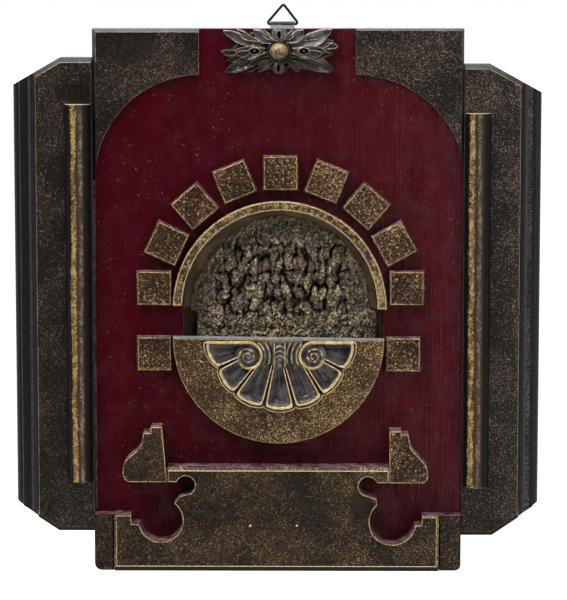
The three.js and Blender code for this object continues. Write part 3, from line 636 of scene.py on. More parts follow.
def bronze(name, dark, warm, dust, cover, seed, coarse, smear):
    """Dark brown paint flecked with gold, the flecks denser towards the right as painted light; cover is
    where the flecks' threshold lies
    """
    g = Graph(name)
    fine = g.noise(1300.0, 1.5, 0.7, seed=seed)
    middle = g.noise(480.0, 2.0, 0.65, seed=seed + 4.0)
    cloud = g.noise(34.0, 3.0, 0.6, seed=seed + 9.0)
    grain = g.add(g.times(fine, 1.0 - coarse), g.times(middle, coarse))
    grain = g.add(grain, g.vary(cloud, -0.03, 0.03))
    # Painted light: more gold flecks towards the right, so that side reads as lit more
    grain = g.add(grain, g.step(g.axis("X"), *FLECK_LIGHT_SIDES, -0.012, 0.016))
    if smear is not None:
        grain = g.math("SUBTRACT", grain, g.spot(smear, cloud))
    gold = g.step(grain, cover - 0.028, cover + 0.11)
    ground = g.mix(g.step(g.add(cloud, middle), 0.85, 1.15), dark, warm)
    rough = g.vary(middle, 0.34, 0.52)
    metal = g.times(gold, GOLD_METAL)
    return g.painted(g.mix(gold, ground, dust), rough, g.bump(grain, 0.22, 0.5), shine=0.18, metal=metal)


def gilt_edge(name, bright, dull, scale):
    """Rubbed gold along an arris, with duller breaks"""
    g = Graph(name)
    breaks = g.step(g.noise(scale, 2.0, 0.7, seed=4.0), 0.44, 0.60)
    wander = g.step(g.noise(85.0, 2.0, seed=9.0), 0.50, 0.66, 0.0, 0.75)
    colour = g.mix(wander, g.mix(breaks, bright, dull), dull)
    normal = g.bump(g.noise(700.0, 2.0, seed=7.0), 0.15, 0.6)
    return g.painted(colour, g.vary(g.noise(400.0, 2.0), 0.38, 0.55), normal, metal=0.25)


def rod_paint(name, centre, gold_line, highlight_line):
    """A dark strip rubbed to gold, with a painted highlight over it, left of its crown, a painted grey
    highlight beside it and painted shade down both flanks, both lines given in x
    """
    g = Graph(name)
    grain = g.noise(800.0, 1.5, 0.65, seed=2.0)
    streak = g.strokes(ROD_STREAKS, 3.0, seed=5.0)
    wander = g.vary(g.noise(30.0, 2.0, seed=12.0), -mm(0.3), mm(0.3))
    speck = g.add(g.times(grain, 0.6), g.times(streak, 0.4))
    across = g.add(g.axis("X"), wander)
    # Painted highlights: the gold stripe is partly rubbed gilding and partly the light's reflection, the
    # grey stripe beside it only reflection
    near_gold = g.step(g.distance(across, gold_line), mm(0.6), mm(4.0), 0.13, -0.17)
    near_highlight = g.step(g.distance(across, highlight_line), mm(0.3), mm(3.4), 0.11, -0.16)
    blotch = g.step(g.noise(210.0, 2.0, 0.6, seed=16.0), 0.42, 0.58, 0.35, 1.0)
    gold = g.times(g.step(g.add(speck, near_gold), 0.50, 0.66), blotch)
    grey = g.times(g.step(g.add(speck, near_highlight), 0.50, 0.68), blotch)
    # Painted shade: the colour turns black down both flanks, away from the crown
    flank_shade = g.step(g.distance(g.axis("X"), centre), mm(1.6), mm(5.4))
    colour = g.mix(grey, g.mix(flank_shade, ROD_BROWN, ROD_FLANK_SHADE), ROD_HIGHLIGHT_GREY)
    colour = g.mix(gold, colour, GOLD_ROD)
    metal = g.times(gold, GOLD_METAL)
    return g.painted(colour, g.vary(grain, 0.34, 0.50), g.bump(speck, 0.20, 0.5), shine=0.12, metal=metal)


def shell_glaze():
    """Dark glazed carving whose high edges, marked on the mesh, are rubbed to gold, with painted light
    making the left lobes paler
    """
    g = Graph("shell_glaze")
    wear = g.vary(g.noise(330.0, 3.0, 0.65, seed=3.0), -0.25, 0.25)
    edge = g.step(g.add(g.attribute("gilt"), wear), 0.59, 0.91)
    patches = g.noise(95.0, seed=5.0)
    # Painted light: the lobes left of the middle are made paler, as if lit from the left
    pale = g.add(g.step(patches, 0.38, 0.64), g.step(g.axis("X"), *SHELL_LIT_LEFT, 0.55, 0.0))
    base = g.mix(g.math("MINIMUM", pale, 1.0), SLATE, SLATE_PALE)
    specks = g.step(g.noise(900.0, 2.0, 0.7, seed=8.0), 0.64, 0.76, 0.0, 0.75)
    base = g.mix(specks, base, GOLD_DUST)
    base = g.mix(g.attribute("shade"), base, BROWN_BLACK)
    gold = g.mix(g.step(g.noise(170.0, 2.0, seed=11.0), 0.48, 0.64), GOLD_EDGE, GOLD_PALE)
    rough = g.vary(patches, 0.20, 0.36)
    normal = g.bump(g.noise(420.0, 3.0, 0.6, seed=1.0), 0.22, 0.6)
    return g.painted(g.mix(edge, base, gold), rough, normal, shine=0.35, metal=g.times(edge, GOLD_METAL))


def rock_paint():
    """Rough brown, grey and purple grains, with painted shade black in the pits and gilt on the finest
    points
    """
    g = Graph("grotto_rough")
    fine = g.noise(540.0, 3.0, 0.7, seed=2.0)
    grain = g.noise(300.0, 3.0, 0.7, seed=6.0)
    tone = g.noise(120.0, 2.0, 0.6, seed=9.0)
    colour = g.mix(g.step(tone, 0.40, 0.56), ROCK_GREY, ROCK_BROWN)
    colour = g.mix(g.step(g.add(tone, fine), 1.06, 1.20), colour, ROCK_OCHRE)
    colour = g.mix(g.step(grain, 0.47, 0.58), ROCK_DARK, colour)
    colour = g.mix(g.attribute("tint"), colour, ROCK_PURPLE)
    colour = g.mix(g.attribute("fringe"), colour, ROCK_OLIVE)
    gold = g.step(g.add(fine, g.times(g.attribute("gilt"), 0.15)), 0.578, 0.700)
    colour = g.mix(gold, colour, g.mix(g.step(tone, 0.45, 0.6), ROCK_GOLD, ROCK_CREAM))
    # Painted shade: the pits marked on the mesh go black
    colour = g.mix(g.attribute("pit"), colour, BROWN_BLACK)
    normal = g.bump(fine, 0.5, 0.8, g.bump(grain, 1.0, 0.8))
    return g.painted(colour, g.vary(grain, 0.34, 0.52), normal, shine=0.35)


def leaf_paint():
    """The rosette: blue grey leaves above, brown below, with rubbed rims, and a gold ball with brown stains
    and painted shade on its lower part
    """
    g = Graph("leaf_glaze")
    wear = g.vary(g.noise(330.0, 3.0, 0.65, seed=3.0), -0.30, 0.26)
    rim = g.step(g.add(g.attribute("gilt"), wear), 0.50, 0.95)
    high = g.step(g.axis("Z"), *LEAF_BLUE_Z)
    patches = g.noise(260.0, seed=5.0)
    body = g.mix(high, LEAF_BROWN, LEAF_BLUE)
    body = g.mix(g.step(patches, 0.42, 0.68, 0.0, 0.75), body, BROWN_BLACK)
    colour = g.mix(rim, body, g.mix(high, GOLD_DULL, GOLD_PALE))
    # Painted shade: the ball's dark stain spreads more on its lower part
    shaded = g.step(g.axis("Z"), *BALL_SHADE_Z, 0.12, -0.08)
    stain_and_shade = g.step(g.add(g.noise(780.0, 3.0, 0.7, seed=15.0), shaded), 0.40, 0.62)
    colour = g.mix(g.attribute("ball"), colour, g.mix(stain_and_shade, BALL_GOLD, BROWN_BLACK))
    # Painted shade: dark in the eyes' pits, the buds' slits and the ground between the leaves
    colour = g.mix(g.attribute("pit"), colour, BROWN_BLACK)
    normal = g.bump(g.noise(520.0, 3.0, 0.6, seed=1.0), 0.20, 0.6)
    return g.painted(colour, g.vary(patches, 0.24, 0.40), normal, metal=g.times(rim, 0.25))


def plain_paint(name, colour, second, rough, scale, bump_height, shine):
    """Two close colours in soft clouds"""
    g = Graph(name)
    clouds = g.step(g.noise(scale, 3.0, 0.6), 0.38, 0.64)
    sheen = g.vary(g.noise(scale * 2.0, 2.0, seed=3.0), rough - 0.07, rough + 0.1)
    normal = g.bump(g.noise(scale * 2.4, seed=5.0), bump_height, 0.6)
    return g.painted(g.mix(clouds, colour, second), sheen, normal, shine)


def bare_wood():
    """The unpainted back: brown stained softwood with upright grain"""
    g = Graph("bare_wood")
    grain = g.strokes(WOOD_GRAIN, 5.0, 0.65)
    bands = g.strokes(WOOD_BANDS, 2.0, 0.5, seed=4.0)
    colour = g.mix(g.step(bands, 0.35, 0.65), WOOD_DARK, WOOD_PALE)
    colour = g.mix(g.step(grain, 0.45, 0.7, 0.0, 0.7), colour, WOOD_DARK)
    return g.painted(colour, g.vary(grain, 0.6, 0.8), g.bump(grain, 0.25, 0.6))


def strap_metal():
    """Bright below, with painted shade turning it black where the strap rolls over the wire"""
    g = Graph("dull_strap")
    wander = g.vary(g.noise(300.0, 2.0), -mm(0.3), mm(0.3))
    # Painted shade: the strap goes black above the roll's line
    roll_shade = g.step(g.add(g.axis("Z"), wander), *STRAP_ROLL_Z)
    rough = g.vary(g.noise(200.0, 2.0, seed=3.0), 0.36, 0.52)
    normal = g.bump(g.noise(480.0, seed=5.0), 0.1, 0.6)
    return g.painted(g.mix(roll_shade, STRAP_LIGHT, STRAP_ROLL_SHADE), rough, normal, metal=0.3)


def pale_floor():
    """A white ground that glows a little"""
    g = Graph("pale_floor")
    colour = g.mix(g.vary(g.noise(3.0, 2.0), 0.0, 1.0), FLOOR_GREY, FLOOR_WHITE)
    g.put(g.shader.inputs["Emission Color"], (1.0, 1.0, 1.0))
    g.put(g.shader.inputs["Emission Strength"], FLOOR["glow"])
    return g.painted(colour, 0.9)


# Bronze paints: name, ground, brown, dust, cover, seed, share of coarse flecks and smear
BRONZES = {
    "wing": ("bronze_wing", WING_GROUND, WING_BROWN, WING_DUST, 0.580, 0.2, 0.16, ROD_SMEAR),
    "spandrel": ("bronze_spandrel", WING_GROUND, WING_BROWN, WING_DUST, 0.583, 3.1, 0.16, SPANDREL_SMEAR),
    "plate": ("bronze_plate", PLATE_GROUND, PLATE_BROWN, PLATE_DUST, 0.590, 6.3, 0.16, PLATE_SMEAR),
    "block": ("bronze_block", BLOCK_GROUND, BLOCK_BROWN, BLOCK_DUST, 0.568, 9.4, 0.35, None),
    "disc": ("bronze_disc", DISC_GROUND, DISC_BROWN, BLOCK_DUST, 0.570, 12.7, 0.16, None),
    "ring": ("bronze_ring", RING_GROUND, GOLD_DULL, RING_DUST, 0.525, 15.2, 0.55, None),
    "stipple": ("gold_stipple", PLATE_BROWN, GOLD_DULL, BLOCK_DUST, 0.520, 18.9, 0.16, None),
    "fillet": ("bronze_fillet", MOULD_BLACK, MOULD_BLACK, MOULD_DUST, 0.545, 21.3, 0.16, None),
}
# Rubbed arrises: name, colour, colour of the breaks and their scale
EDGES = {
    # The red edge is a painted highlight: pale pink gloss along the board's rounded arrises
    "red_edge": ("red_edge_sheen", RED_EDGE_SHEEN, RED_DARK, 300.0),
    "line": ("gilt_line", GOLD_EDGE, GOLD_DULL, 500.0),
    "wing_line": ("gilt_wing_line", GOLD_BRIGHT, GOLD_EDGE, 400.0),
    "bright_line": ("gilt_bright_line", GOLD_PALE, GOLD_EDGE, 500.0),
    "end_line": ("pale_rod_end", ROD_END, ROD_END_DULL, 200.0),
    "pin": ("bright_pin", PIN_BRIGHT, GOLD_PALE, 900.0),
    "seam": ("worn_seam", SEAM_GREY, SEAM_BROWN, 180.0),
    "bead": ("gilt_bead", GOLD_PALE, GOLD_EDGE, 300.0),
}
# Plain paints: name, two colours, roughness, scale of the clouds, height of the bumps and shine
PLAIN = {
    "olive": ("niche_olive", OLIVE, OLIVE_PALE, 0.34, 60.0, 0.25, 0.5),
    "panel": ("niche_panel", PANEL_DARK, PANEL_WARM, 0.34, 90.0, 0.25, 0.5),
    "side": ("dark_side", SIDE_DARK, SIDE_WARM, 0.34, 120.0, 0.25, 0.5),
    "mould": ("black_mould", MOULD_BLACK, MOULD_WARM, 0.36, 300.0, 0.25, 0.2),
    "cove_highlight": ("mould_cove_highlight", MOULD_HIGHLIGHT_GREY, MOULD_HIGHLIGHT_DIM, 0.40, 500.0, 0.25, 0.25),
    "chamfer": ("glossy_chamfer", CHAMFER_BLACK, CHAMFER_GREY, 0.38, 200.0, 0.12, 0.32),
    # Painted reflection: the slope along the spandrels' top edge is lilac grey as if mirroring the light
    # above
    "top_slope": ("lilac_top_sheen", TOP_SHEEN_LILAC, TOP_VIOLET, 0.42, 70.0, 0.10, 0.25),
    # Painted reflection: the up-facing tops of the board and spandrels are pale grey as if mirroring the
    # light above
    "top": ("top_sheen_grey", TOP_SHEEN_GREY, TOP_BROWN, 0.40, 90.0, 0.15, 0.5),
    # Painted shade: the faces that look down are near black, as if in shadow
    "under": ("underside_shade", UNDER_SHADE_BLACK, UNDER_SHADE_WARM, 0.60, 240.0, 0.25, 0.05),
    # Painted reflection: the shelf on the half disc is pale blue grey as if mirroring the light above
    "shelf": ("shelf_sheen_grey", SHELF_SHEEN_GREY, SHELF_OLIVE, 0.30, 160.0, 0.15, 0.5),
    "wire": ("black_wire", WIRE_BLACK, WIRE_WARM, 0.45, 300.0, 0.08, 0.05),
}
MATERIALS = {
    "red": red_paint(),
    "ledge": red_ledge(),
    "left_rod": rod_paint("left_rod_paint", -ROD_CENTRE, -141.9, -136.9),
    "right_rod": rod_paint("right_rod_paint", ROD_CENTRE, 134.7, 140.0),
    "slate": shell_glaze(),
    "leaf": leaf_paint(),
    "grotto": rock_paint(),
    "wood": bare_wood(),
    "strap": strap_metal(),
}
MATERIALS |= {key: bronze(*row) for key, row in BRONZES.items()}
MATERIALS |= {key: gilt_edge(*row) for key, row in EDGES.items()}
MATERIALS |= {key: plain_paint(*row) for key, row in PLAIN.items()}


# CAD pieces dressed with rounded arrises
FRONT_TILT = 0.93
SLOPE_TILT = 0.25
SIDE_TILT = -0.5
LEDGE_RISE = 0.22
SLANT = 0.3
ARRIS_ANGLE = math.radians(26.0)
FLAT_ANGLE = math.radians(0.6)
SMOOTH_ANGLE = 38.0
SIDE_SHARE = 0.6
FRONT, LINE, SLOPE, SIDE, LEDGE, BACK = range(6)


def outer_arrises(bm, in_front):
    """Convex edges away from the back, either those of front faces or all the others"""
    arrises = []
    for edge in bm.edges:
        if not edge.is_manifold or edge.calc_face_angle_signed(0.0) < ARRIS_ANGLE:
            continue
        tilts = [-face.normal.y for face in edge.link_faces]
        if min(tilts) > SIDE_TILT and (max(tilts) > FRONT_TILT) == in_front:
            arrises.append(edge)
    return arrises


def rounded(bm, in_front, width, material):
    bm.normal_update()
    bmesh.ops.bevel(
        bm,
        geom=outer_arrises(bm, in_front),
        offset=mm(width),
        offset_type="OFFSET",
        segments=2,
        profile=0.6,
        affect="EDGES",
        clamp_overlap=True,
        material=material,
    )


def flat_copy(node, split):
    """A CAD node as an editable mesh without its needless edges, cut at a plane where its finish changes"""
    bm = bmesh.new()
    bm.from_mesh(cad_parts[node].data)
    bmesh.ops.remove_doubles(bm, verts=bm.verts, dist=TINY)
    bmesh.ops.dissolve_limit(bm, angle_limit=FLAT_ANGLE, verts=bm.verts, edges=bm.edges)
    if split is not None:
        point, normal = split
        geometry = bm.verts[:] + bm.edges[:] + bm.faces[:]
        bmesh.ops.bisect_plane(bm, geom=geometry, plane_co=[mm(v) for v in point], plane_no=normal)
    bm.normal_update()
    return bm


def face_kind(normal):
    """Which of a piece's finishes a face gets from the way it looks"""
    if -normal.y > FRONT_TILT:
        return FRONT
    if -normal.y > SLOPE_TILT:
        return SLOPE
    if -normal.y <= SIDE_TILT:
        return BACK
    return LEDGE if normal.z > LEDGE_RISE else SIDE


def refinish(faces, names, choose):
    """Give faces the finish that a function names from their middle and normal"""
    for face in faces:
        centre = face.calc_center_median()
        name = choose(centre.x / MM, centre.z / MM, -centre.y / MM, face.normal)
        if name is None:
            continue
        if name not in names:
            names.append(name)
        face.material_index = names.index(name)


def dressed(
    node,
    slot,
    paint,
    line=None,
    slope=None,
    side=None,
    ledge=None,
    width=ARRIS,
    choose=None,
    rub=None,
    split=None,
    body="plaque",
):
    """A copy of a CAD node with rounded arrises, and its own finish for fronts, slopes, sides and ledges"""
    names = [paint, line or paint, slope or paint, side or paint, ledge or side or paint, "wood"]
    bm = flat_copy(node, split)
    for face in bm.faces:
        face.material_index = face_kind(face.normal)
    if choose is not None:
        refinish(bm.faces, names, choose)
    rounded(bm, False, width * SIDE_SHARE, -1)
    rounded(bm, True, width, LINE)
    if rub is not None:
        refinish([face for face in bm.faces if face.material_index == LINE], names, rub)
    mesh = bpy.data.meshes.new(node + "_dressed")
    bm.to_mesh(mesh)
    bm.free()
    for name in names:
        mesh.materials.append(MATERIALS[name])
    shade_smooth(mesh, SMOOTH_ANGLE)
    piece = add_object(node + "_dressed", mesh)
    weighted = piece.modifiers.new("weighted", "WEIGHTED_NORMAL")
    weighted.keep_sharp = True
    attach(piece, body)
    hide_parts(node)
    return piece


def is_sloped(normal):
    return SLOPE_TILT < -normal.y < FRONT_TILT


def board_finish(x, y, z, normal):
    """Olive inside the niche, dark low in it, a painted pink highlight along the left edge, and bare wood
    in the pocket behind
    """
    if x < PALE_EDGE and normal.y < -SLOPE_TILT:
        return "red_edge"
    if normal.y >= -SIDE_TILT:
        return None
    beside = NICHE["left"] - 1 < x < NICHE["right"] + 1
    if beside and NICHE["foot"] - 1 < y < NICHE["head"] and z < BOARD_FRONT - NICHE["depth_slack"]:
        return "panel" if y < NICHE["panel_top"] else "olive"
    behind = z < POCKET["depth"] and abs(x) < POCKET["half"]
    return "wood" if behind and POCKET["bottom"] < y < POCKET["top"] else None


def wing_finish(x, y, z, normal):
    """Black mouldings with a painted highlight line at the foot of the cove, and painted shade on the faces
    that look down
    """
    # Painted shade: faces that look down get the near black underside paint
    if normal.z < -LEDGE_RISE and normal.y < -SIDE_TILT:
        return "under"
    if abs(normal.z) > LEDGE_RISE or normal.y > -SIDE_TILT:
        return None
    foot, top_of_foot = MOULDING["foot"]
    # Painted highlight: a grey line at the foot of the cove stands for light caught there
    if foot < abs(x) < top_of_foot and z < MOULDING["low"]:
        return "cove_highlight"
    if top_of_foot < x < MOULDING["fillet"] and z < MOULDING["low"]:
        return "fillet"
    return "mould" if abs(x) > MOULDING["start"] and z < MOULDING["step"] else None


def wing_rub(x, y, *rest):
    """Gold along the field's edge, and scuffed grey beside the board, on the outer fillet and underneath"""
    scuffed = abs(x) < WING_SCUFF["inner"] or abs(x) > WING_SCUFF["outer"] or y < WING_SCUFF["bottom"]
    return "seam" if scuffed else None


def spandrel_finish(x, y, z, normal):
    """Painted pale sheen along the top edge and dark down the outer side"""
    if not is_sloped(normal):
        return None
    if normal.z > SLANT and y > SPANDREL_EDGE["slope"]:
        return "top_slope"
    return "side" if abs(x) > SPANDREL_EDGE["outer"] and abs(normal.x) > SLANT else None


def spandrel_rub(x, y, *rest):
    """Bright on the free outer edges, above the wings, and scuffed beside them"""
    if y > SPANDREL_EDGE["top"] or (y > WING_TOP and abs(x) > SPANDREL_EDGE["outer"]):
        return "end_line"
    inner, outer = SPANDREL_EDGE["scuff"]
    return "seam" if inner < abs(x) < outer else None


def overlay_finish(x, y, z, normal):
    """Painted shade, near black, along the lower edge"""
    return "under" if is_sloped(normal) and normal.z < -SLANT else None


def overlay_rub(x, y, *rest):
    """The long top and bottom edges are rubbed brighter than the fretted ones"""
    bottom, top = OVERLAY_LINES
    return "bright_line" if y > top or y < bottom else None


# Shell
def between_ribs(u, end):
    """A point between the ribs' roots, end 0, or between their notches, end 1"""
    return [np.interp(u, np.arange(len(RIBS)), [rib[end][k] for rib in RIBS]) for k in (0, 1)]


def fan_places(count):
    """Even places round the fan, kept just inside its two ends"""
    return np.clip(np.linspace(0.0, LOBES, count), TINY, LOBES - TINY)


def from_middle(x, y):
    """Unit direction from the shell's middle"""
    away = np.array([x - SHELL["middle"][0], y - SHELL["middle"][1]])
    return away / np.hypot(*away)


def shell_rays(u):
    """Root and rim point for each place round the fan, u counting lobes from the left"""
    rim = between_ribs(u, 1)
    away = from_middle(*rim)
    scallop = SHELL["bulge"] * np.sin(np.pi * (u % 1.0)) ** 0.55
    return between_ribs(u, 0), [rim[0] + away[0] * scallop, rim[1] + away[1] * scallop]


def lobe_width(u, v):
    """Distance across a lobe from the middle of one rib to the next"""
    first = np.floor(u)
    ends = []
    for stop in (first, first + 1):
        root, rim = between_ribs(stop, 0), between_ribs(stop, 1)
        ends.append([root[k] + (rim[k] - root[k]) * v for k in (0, 1)])
    return np.hypot(ends[1][0] - ends[0][0], ends[1][1] - ends[0][1])


def rib_gap(v):
    near, far = SHELL["rib_gap"]
    return near + (far - near) * v


def fan_dome(v):
    return SHELL["crown"] - (SHELL["crown"] - SHELL["rim"]) * v**1.8


def fan_point(u, v):
    """A point of the fan's surface, u round the lobes and v from root to rim, and its depth in the lobe"""
    root, rim = shell_rays(u)
    x = root[0] + (rim[0] - root[0]) * v
    y = root[1] + (rim[1] - root[1]) * v
    share = u % 1.0
    width = lobe_width(u, v)
    aside = np.minimum(share, 1.0 - share) * width
    gap = rib_gap(v)
    wall = smooth(aside, gap + 0.1, gap + SHELL["wall"])
    hollow = SHELL["hollow"] * wall * smooth(v, -0.2, 0.25) * (1.0 - 0.80 * smooth(v, 0.76, 0.91))
    belly = SHELL["belly"] * smooth(aside, gap + SHELL["wall"] - 0.4, width / 2)
    groove = SHELL["groove"] * bump_at(aside, gap * 0.55)
    return x, y, fan_dome(v) - hollow + belly - groove - SHELL["lip"] * smooth(v, 0.93, 1.0), wall


def add_skirt(x, y, z):
    """Two more rows past the rim, where the shell's edge slopes down to the half disc"""
    away_x, away_y = from_middle(x[-1], y[-1])
    rows_x, rows_y, rows_z = [x], [y], [z]
    for out, height in SKIRT_ROWS:
        rows_x.append((x[-1] + away_x * SHELL["skirt"] * out)[None, :])
        rows_y.append(np.minimum(y[-1] + away_y * SHELL["skirt"] * out, y.max())[None, :])
        rows_z.append((z[-1] * height)[None, :])
    return np.concatenate(rows_x), np.concatenate(rows_y), np.concatenate(rows_z)


def fan_marks(x, y, v, wall):
    """Where the fan is rubbed to gold and where it is shaded, the skirt's rows included"""
    skirt = (len(SKIRT_ROWS), wall.shape[1])
    edge = np.concatenate([0.5 * smooth(v, 0.86, 0.92), np.full(skirt, 0.1)])
    streak = smooth(layered_noise(x, y, 3.0, 19), 0.9, 1.5)
    by_ribs = smooth(wall, 0.25, 0.0) * smooth(v, 0.0, 0.2)
    shade = np.concatenate([np.maximum(smooth(v, 0.935, 0.96), by_ribs), np.ones(skirt)])
    return {"gilt": 0.30 * streak + 0.55 * edge, "shade": shade * 0.9}


def shell_piece():
    across, down = FAN_GRID
    u, v = np.meshgrid(fan_places(LOBES * across + 1), np.linspace(0.0, 1.0, down + 1))
    x, y, z, wall = fan_point(u, v)
    z = z + 0.22 * layered_noise(x, y, 11.0, 4, 2) * wall
    x, y, z = add_skirt(x, y, z)
    marks = fan_marks(x, y, v, wall)
    z = np.maximum(z, SHELL["least"])
    return carved_sheet("shell_fan", x, y, z, "slate", marks, {"gilt": 0.0, "shade": 1.0})


def rim_run(lobe):
    """Path and thickness of the bead along one lobe's rim, which runs on to the end of an outer lobe"""
    start = 0.0 if lobe == 0 else 0.10
    end = 1.0 - TINY if lobe == LOBES - 1 else 0.90
    along = np.linspace(start, end, END_RIM_POINTS if lobe in (0, LOBES - 1) else RIM_POINTS)
    x, y, z, wall = fan_point(lobe + along, np.full(along.shape, SHELL["bead_at"]))
    chips = 0.25 * layered_noise(x, y, 2.2, 31)
    path = np.stack([x, y, fan_dome(SHELL["bead_at"]) + chips], axis=1)
    return path, SHELL["rim_bead"] * (1.0 + 0.25 * layered_noise(x, y, 2.6, 37))


def rib_run(rib, toward):
    """Path and thickness of the bead along a rib, out on its right side or back on its left side"""
    v = np.linspace(0.10, 0.895, RIB_POINTS)[::toward]
    start, end = np.array(RIBS[rib])
    middle = start + (end - start) * v[:, None]
    way = (end - start) / np.hypot(*(end - start))
    gap = rib_gap(v) * toward
    path = np.stack([middle[:, 0] - way[1] * gap, middle[:, 1] + way[0] * gap, fan_dome(v)], axis=1)
    return path, SHELL["rib_bead"] * (0.85 + 0.5 * v**4)


def lobe_bead(lobe):
    """The bead round one lobe: its left rib, its rim and its right rib, softened at the corners"""
    runs = [rim_run(lobe)]
    if lobe > 0:
        runs.insert(0, rib_run(lobe, 1))
    if lobe + 1 < LOBES:
        runs.append(rib_run(lobe + 1, -1))
    path = np.concatenate([run[0] for run in runs])
    radii = np.concatenate([run[1] for run in runs])
    inner = np.stack([np.convolve(path[:, k], SOFTENER, "valid") for k in range(3)], axis=1)
    path = np.concatenate([path[:2], inner, path[-2:]])
    path[:, 2] += DISC_FACE
    return swept(path, radii)


def bead_pieces():
    points, faces = joined([lobe_bead(lobe) for lobe in range(LOBES)])
    return make_object("shell_lobe_beads", points, faces, "bead", smooth_angle=60)


def outer_line():
    """The thin worn line low on the shell's outer edge"""
    rim = shell_rays(fan_places(LINE_POINTS))[1]
    away = from_middle(*rim) * SHELL["line_out"]
    rise = np.full(LINE_POINTS, DISC_FACE + SHELL["line_rise"])
    path = np.stack([rim[0] + away[0], rim[1] + away[1], rise], axis=1)
    points, faces = swept(path, np.full(LINE_POINTS, SHELL["line"]))
    return make_object("shell_outer_line", points, faces, "bead", smooth_angle=60)


def scroll_curl(centre_x, centre_y, turn):
    """A scroll's curl, quarter turn by quarter turn from its top, and each point's share of the way"""
    quarters = np.linspace(0.0, len(SCROLL_RADII) - 1.0, SCROLL["points"][1])
    radius = np.interp(quarters, np.arange(len(SCROLL_RADII)), SCROLL_RADII)
    angle = np.pi / 2 - turn * quarters * np.pi / 2
    rise = SCROLL["rise"] + SCROLL["climb"] * smooth(quarters, *SCROLL["climb_turns"])
    curl = [centre_x + radius * np.cos(angle), centre_y + radius * np.sin(angle), rise]
    return np.stack(curl, axis=1), quarters / quarters[-1]


def scroll_pieces(side, data):
    """One top bead that runs in from the fan's corner and curls into a scroll, on its drum"""
    (centre_x, centre_y), turn, corner = data
    curl, share = scroll_curl(centre_x, centre_y, turn)
    top_y = centre_y + SCROLL_RADII[0]
    along = np.linspace(0.0, 1.0, SCROLL["points"][0])[:-1]
    start = SHELL["rim"] + SHELL["least"]
    run_x = corner[0] + (centre_x - corner[0]) * along
    run_y = corner[1] + (top_y - corner[1]) * along**2
    run_z = start + (SCROLL["rise"] - start) * along + 0.12 * np.sin(along * 31.0)
    path = np.concatenate([np.stack([run_x, run_y, run_z], axis=1), curl])
    path[:, 2] += DISC_FACE
    thick = SCROLL["bead"] * (1.0 + 0.08 * np.sin(along * 47.0))
    thin = SCROLL["bead"] + (SCROLL["thin_bead"] - SCROLL["bead"]) * share
    points, faces = swept(path, np.concatenate([thick, thin]))
    reach = np.hypot(points[:, 0] - centre_x, points[:, 1] - centre_y)
    marks = {"gilt": 0.66 + 0.30 * smooth(reach, 5.5, 8.5)}
    bead = make_object("shell_scroll_" + side, points, faces, "slate", marks, 60)
    return [bead, turned("shell_drum_" + side, centre_x, centre_y, drum_profile(), "slate")]


def drum_profile():
    """Radius and height of the drum under a scroll, with a raised coil in its middle"""
    drum, floor, coil = SCROLL["drum"], SCROLL["floor"], SCROLL["coil"]
    top = SCROLL["rise"] + SCROLL["climb"]
    profile = [(drum, 0.0), (drum, floor - 0.6), (drum - 0.6, floor), (coil + 0.5, floor)]
    profile += [(coil, floor + 0.5), (coil - 0.2, top - 0.9), (coil - 0.7, top - 0.5), (2.4, top - 0.7)]
    profile += [(1.6, top - 0.2), (0.9, top + 0.3)]
    return profile


def turned(name, x, y, profile, paint, spokes=40, base=DISC_FACE):
    """A turned piece on a flat face, closed by a flat foot and a point on its axis"""
    turn = np.linspace(0.0, 2.0 * np.pi, spokes, endpoint=False)
    circle = np.stack([np.cos(turn), np.sin(turn), np.zeros(spokes)], axis=1)
    rings = [circle * r + np.array([x, y, base + z]) for r, z in profile]
    points = np.concatenate(rings + [np.array([[x, y, base + profile[-1][1] + 0.1]])])
    faces = grid_faces(spokes, len(profile) - 1, closed=True).tolist()
    faces.append(list(range(spokes))[::-1])
    last, top = (len(profile) - 1) * spokes, len(points) - 1
    faces += [[last + k, last + (k + 1) % spokes, top] for k in range(spokes)]
    return make_object(name, points, faces, paint, smooth_angle=50)


def stem_column(x, y, aside, down):
    """The column's height above the half disc and its gilding: side rails, arched rungs and two balls"""
    column = STEM["column"]
    rail = bump_at(aside - column + 0.9, 0.62) * smooth(down, 0.97, 0.80)
    rungs, balls = np.zeros_like(x), np.zeros_like(x)
    for height in STEM["rungs"]:
        arch = height - 0.16 * aside**2.0
        rungs = np.maximum(rungs, bump_at(y - arch, 0.50) * smooth(aside, column - 1.0, column - 1.8))
    for height, size in STEM["balls"]:
        distance = np.hypot(x - STEM["x"], y - height)
        balls = np.maximum(balls, np.sqrt(np.clip(1 - (distance / size) ** 2, 0, 1)) * size * 0.8)
    crown = STEM["rise"] - 1.6 + 1.6 * rail + 1.1 * rungs + balls
    end = smooth(down, 1.0, 0.90)
    gilt = np.maximum(rail, np.maximum(rungs, smooth(balls, 1.0, 1.6) * 0.8))
    return crown * end + STEM["foot"] * (1 - end), gilt


def stem_reeds(x, y):
    """Reeds that curve round each scroll and fade at their lower ends, and their gilding"""
    centres = [data[0] for data in SCROLLS.values()]
    round_scroll = np.minimum(*[np.hypot(x - cx, y - cy) for cx, cy in centres])
    radius = SCROLL_RADII[0]
    reed = np.abs(np.sin((round_scroll - radius - 0.4) * np.pi / STEM["reed"]))
    fade = smooth(y, STEM["bottom"] + 1.0, STEM["bottom"] + 6.0)
    reeds = (STEM["reed_floor"] + STEM["reed_rise"] * reed) * fade + STEM["foot"] * (1 - fade)
    reeds = reeds - 7.0 * smooth(round_scroll, radius + 0.5, radius - 0.5)
    return reeds, smooth(reed, 0.78, 1.0) * 0.80 * fade


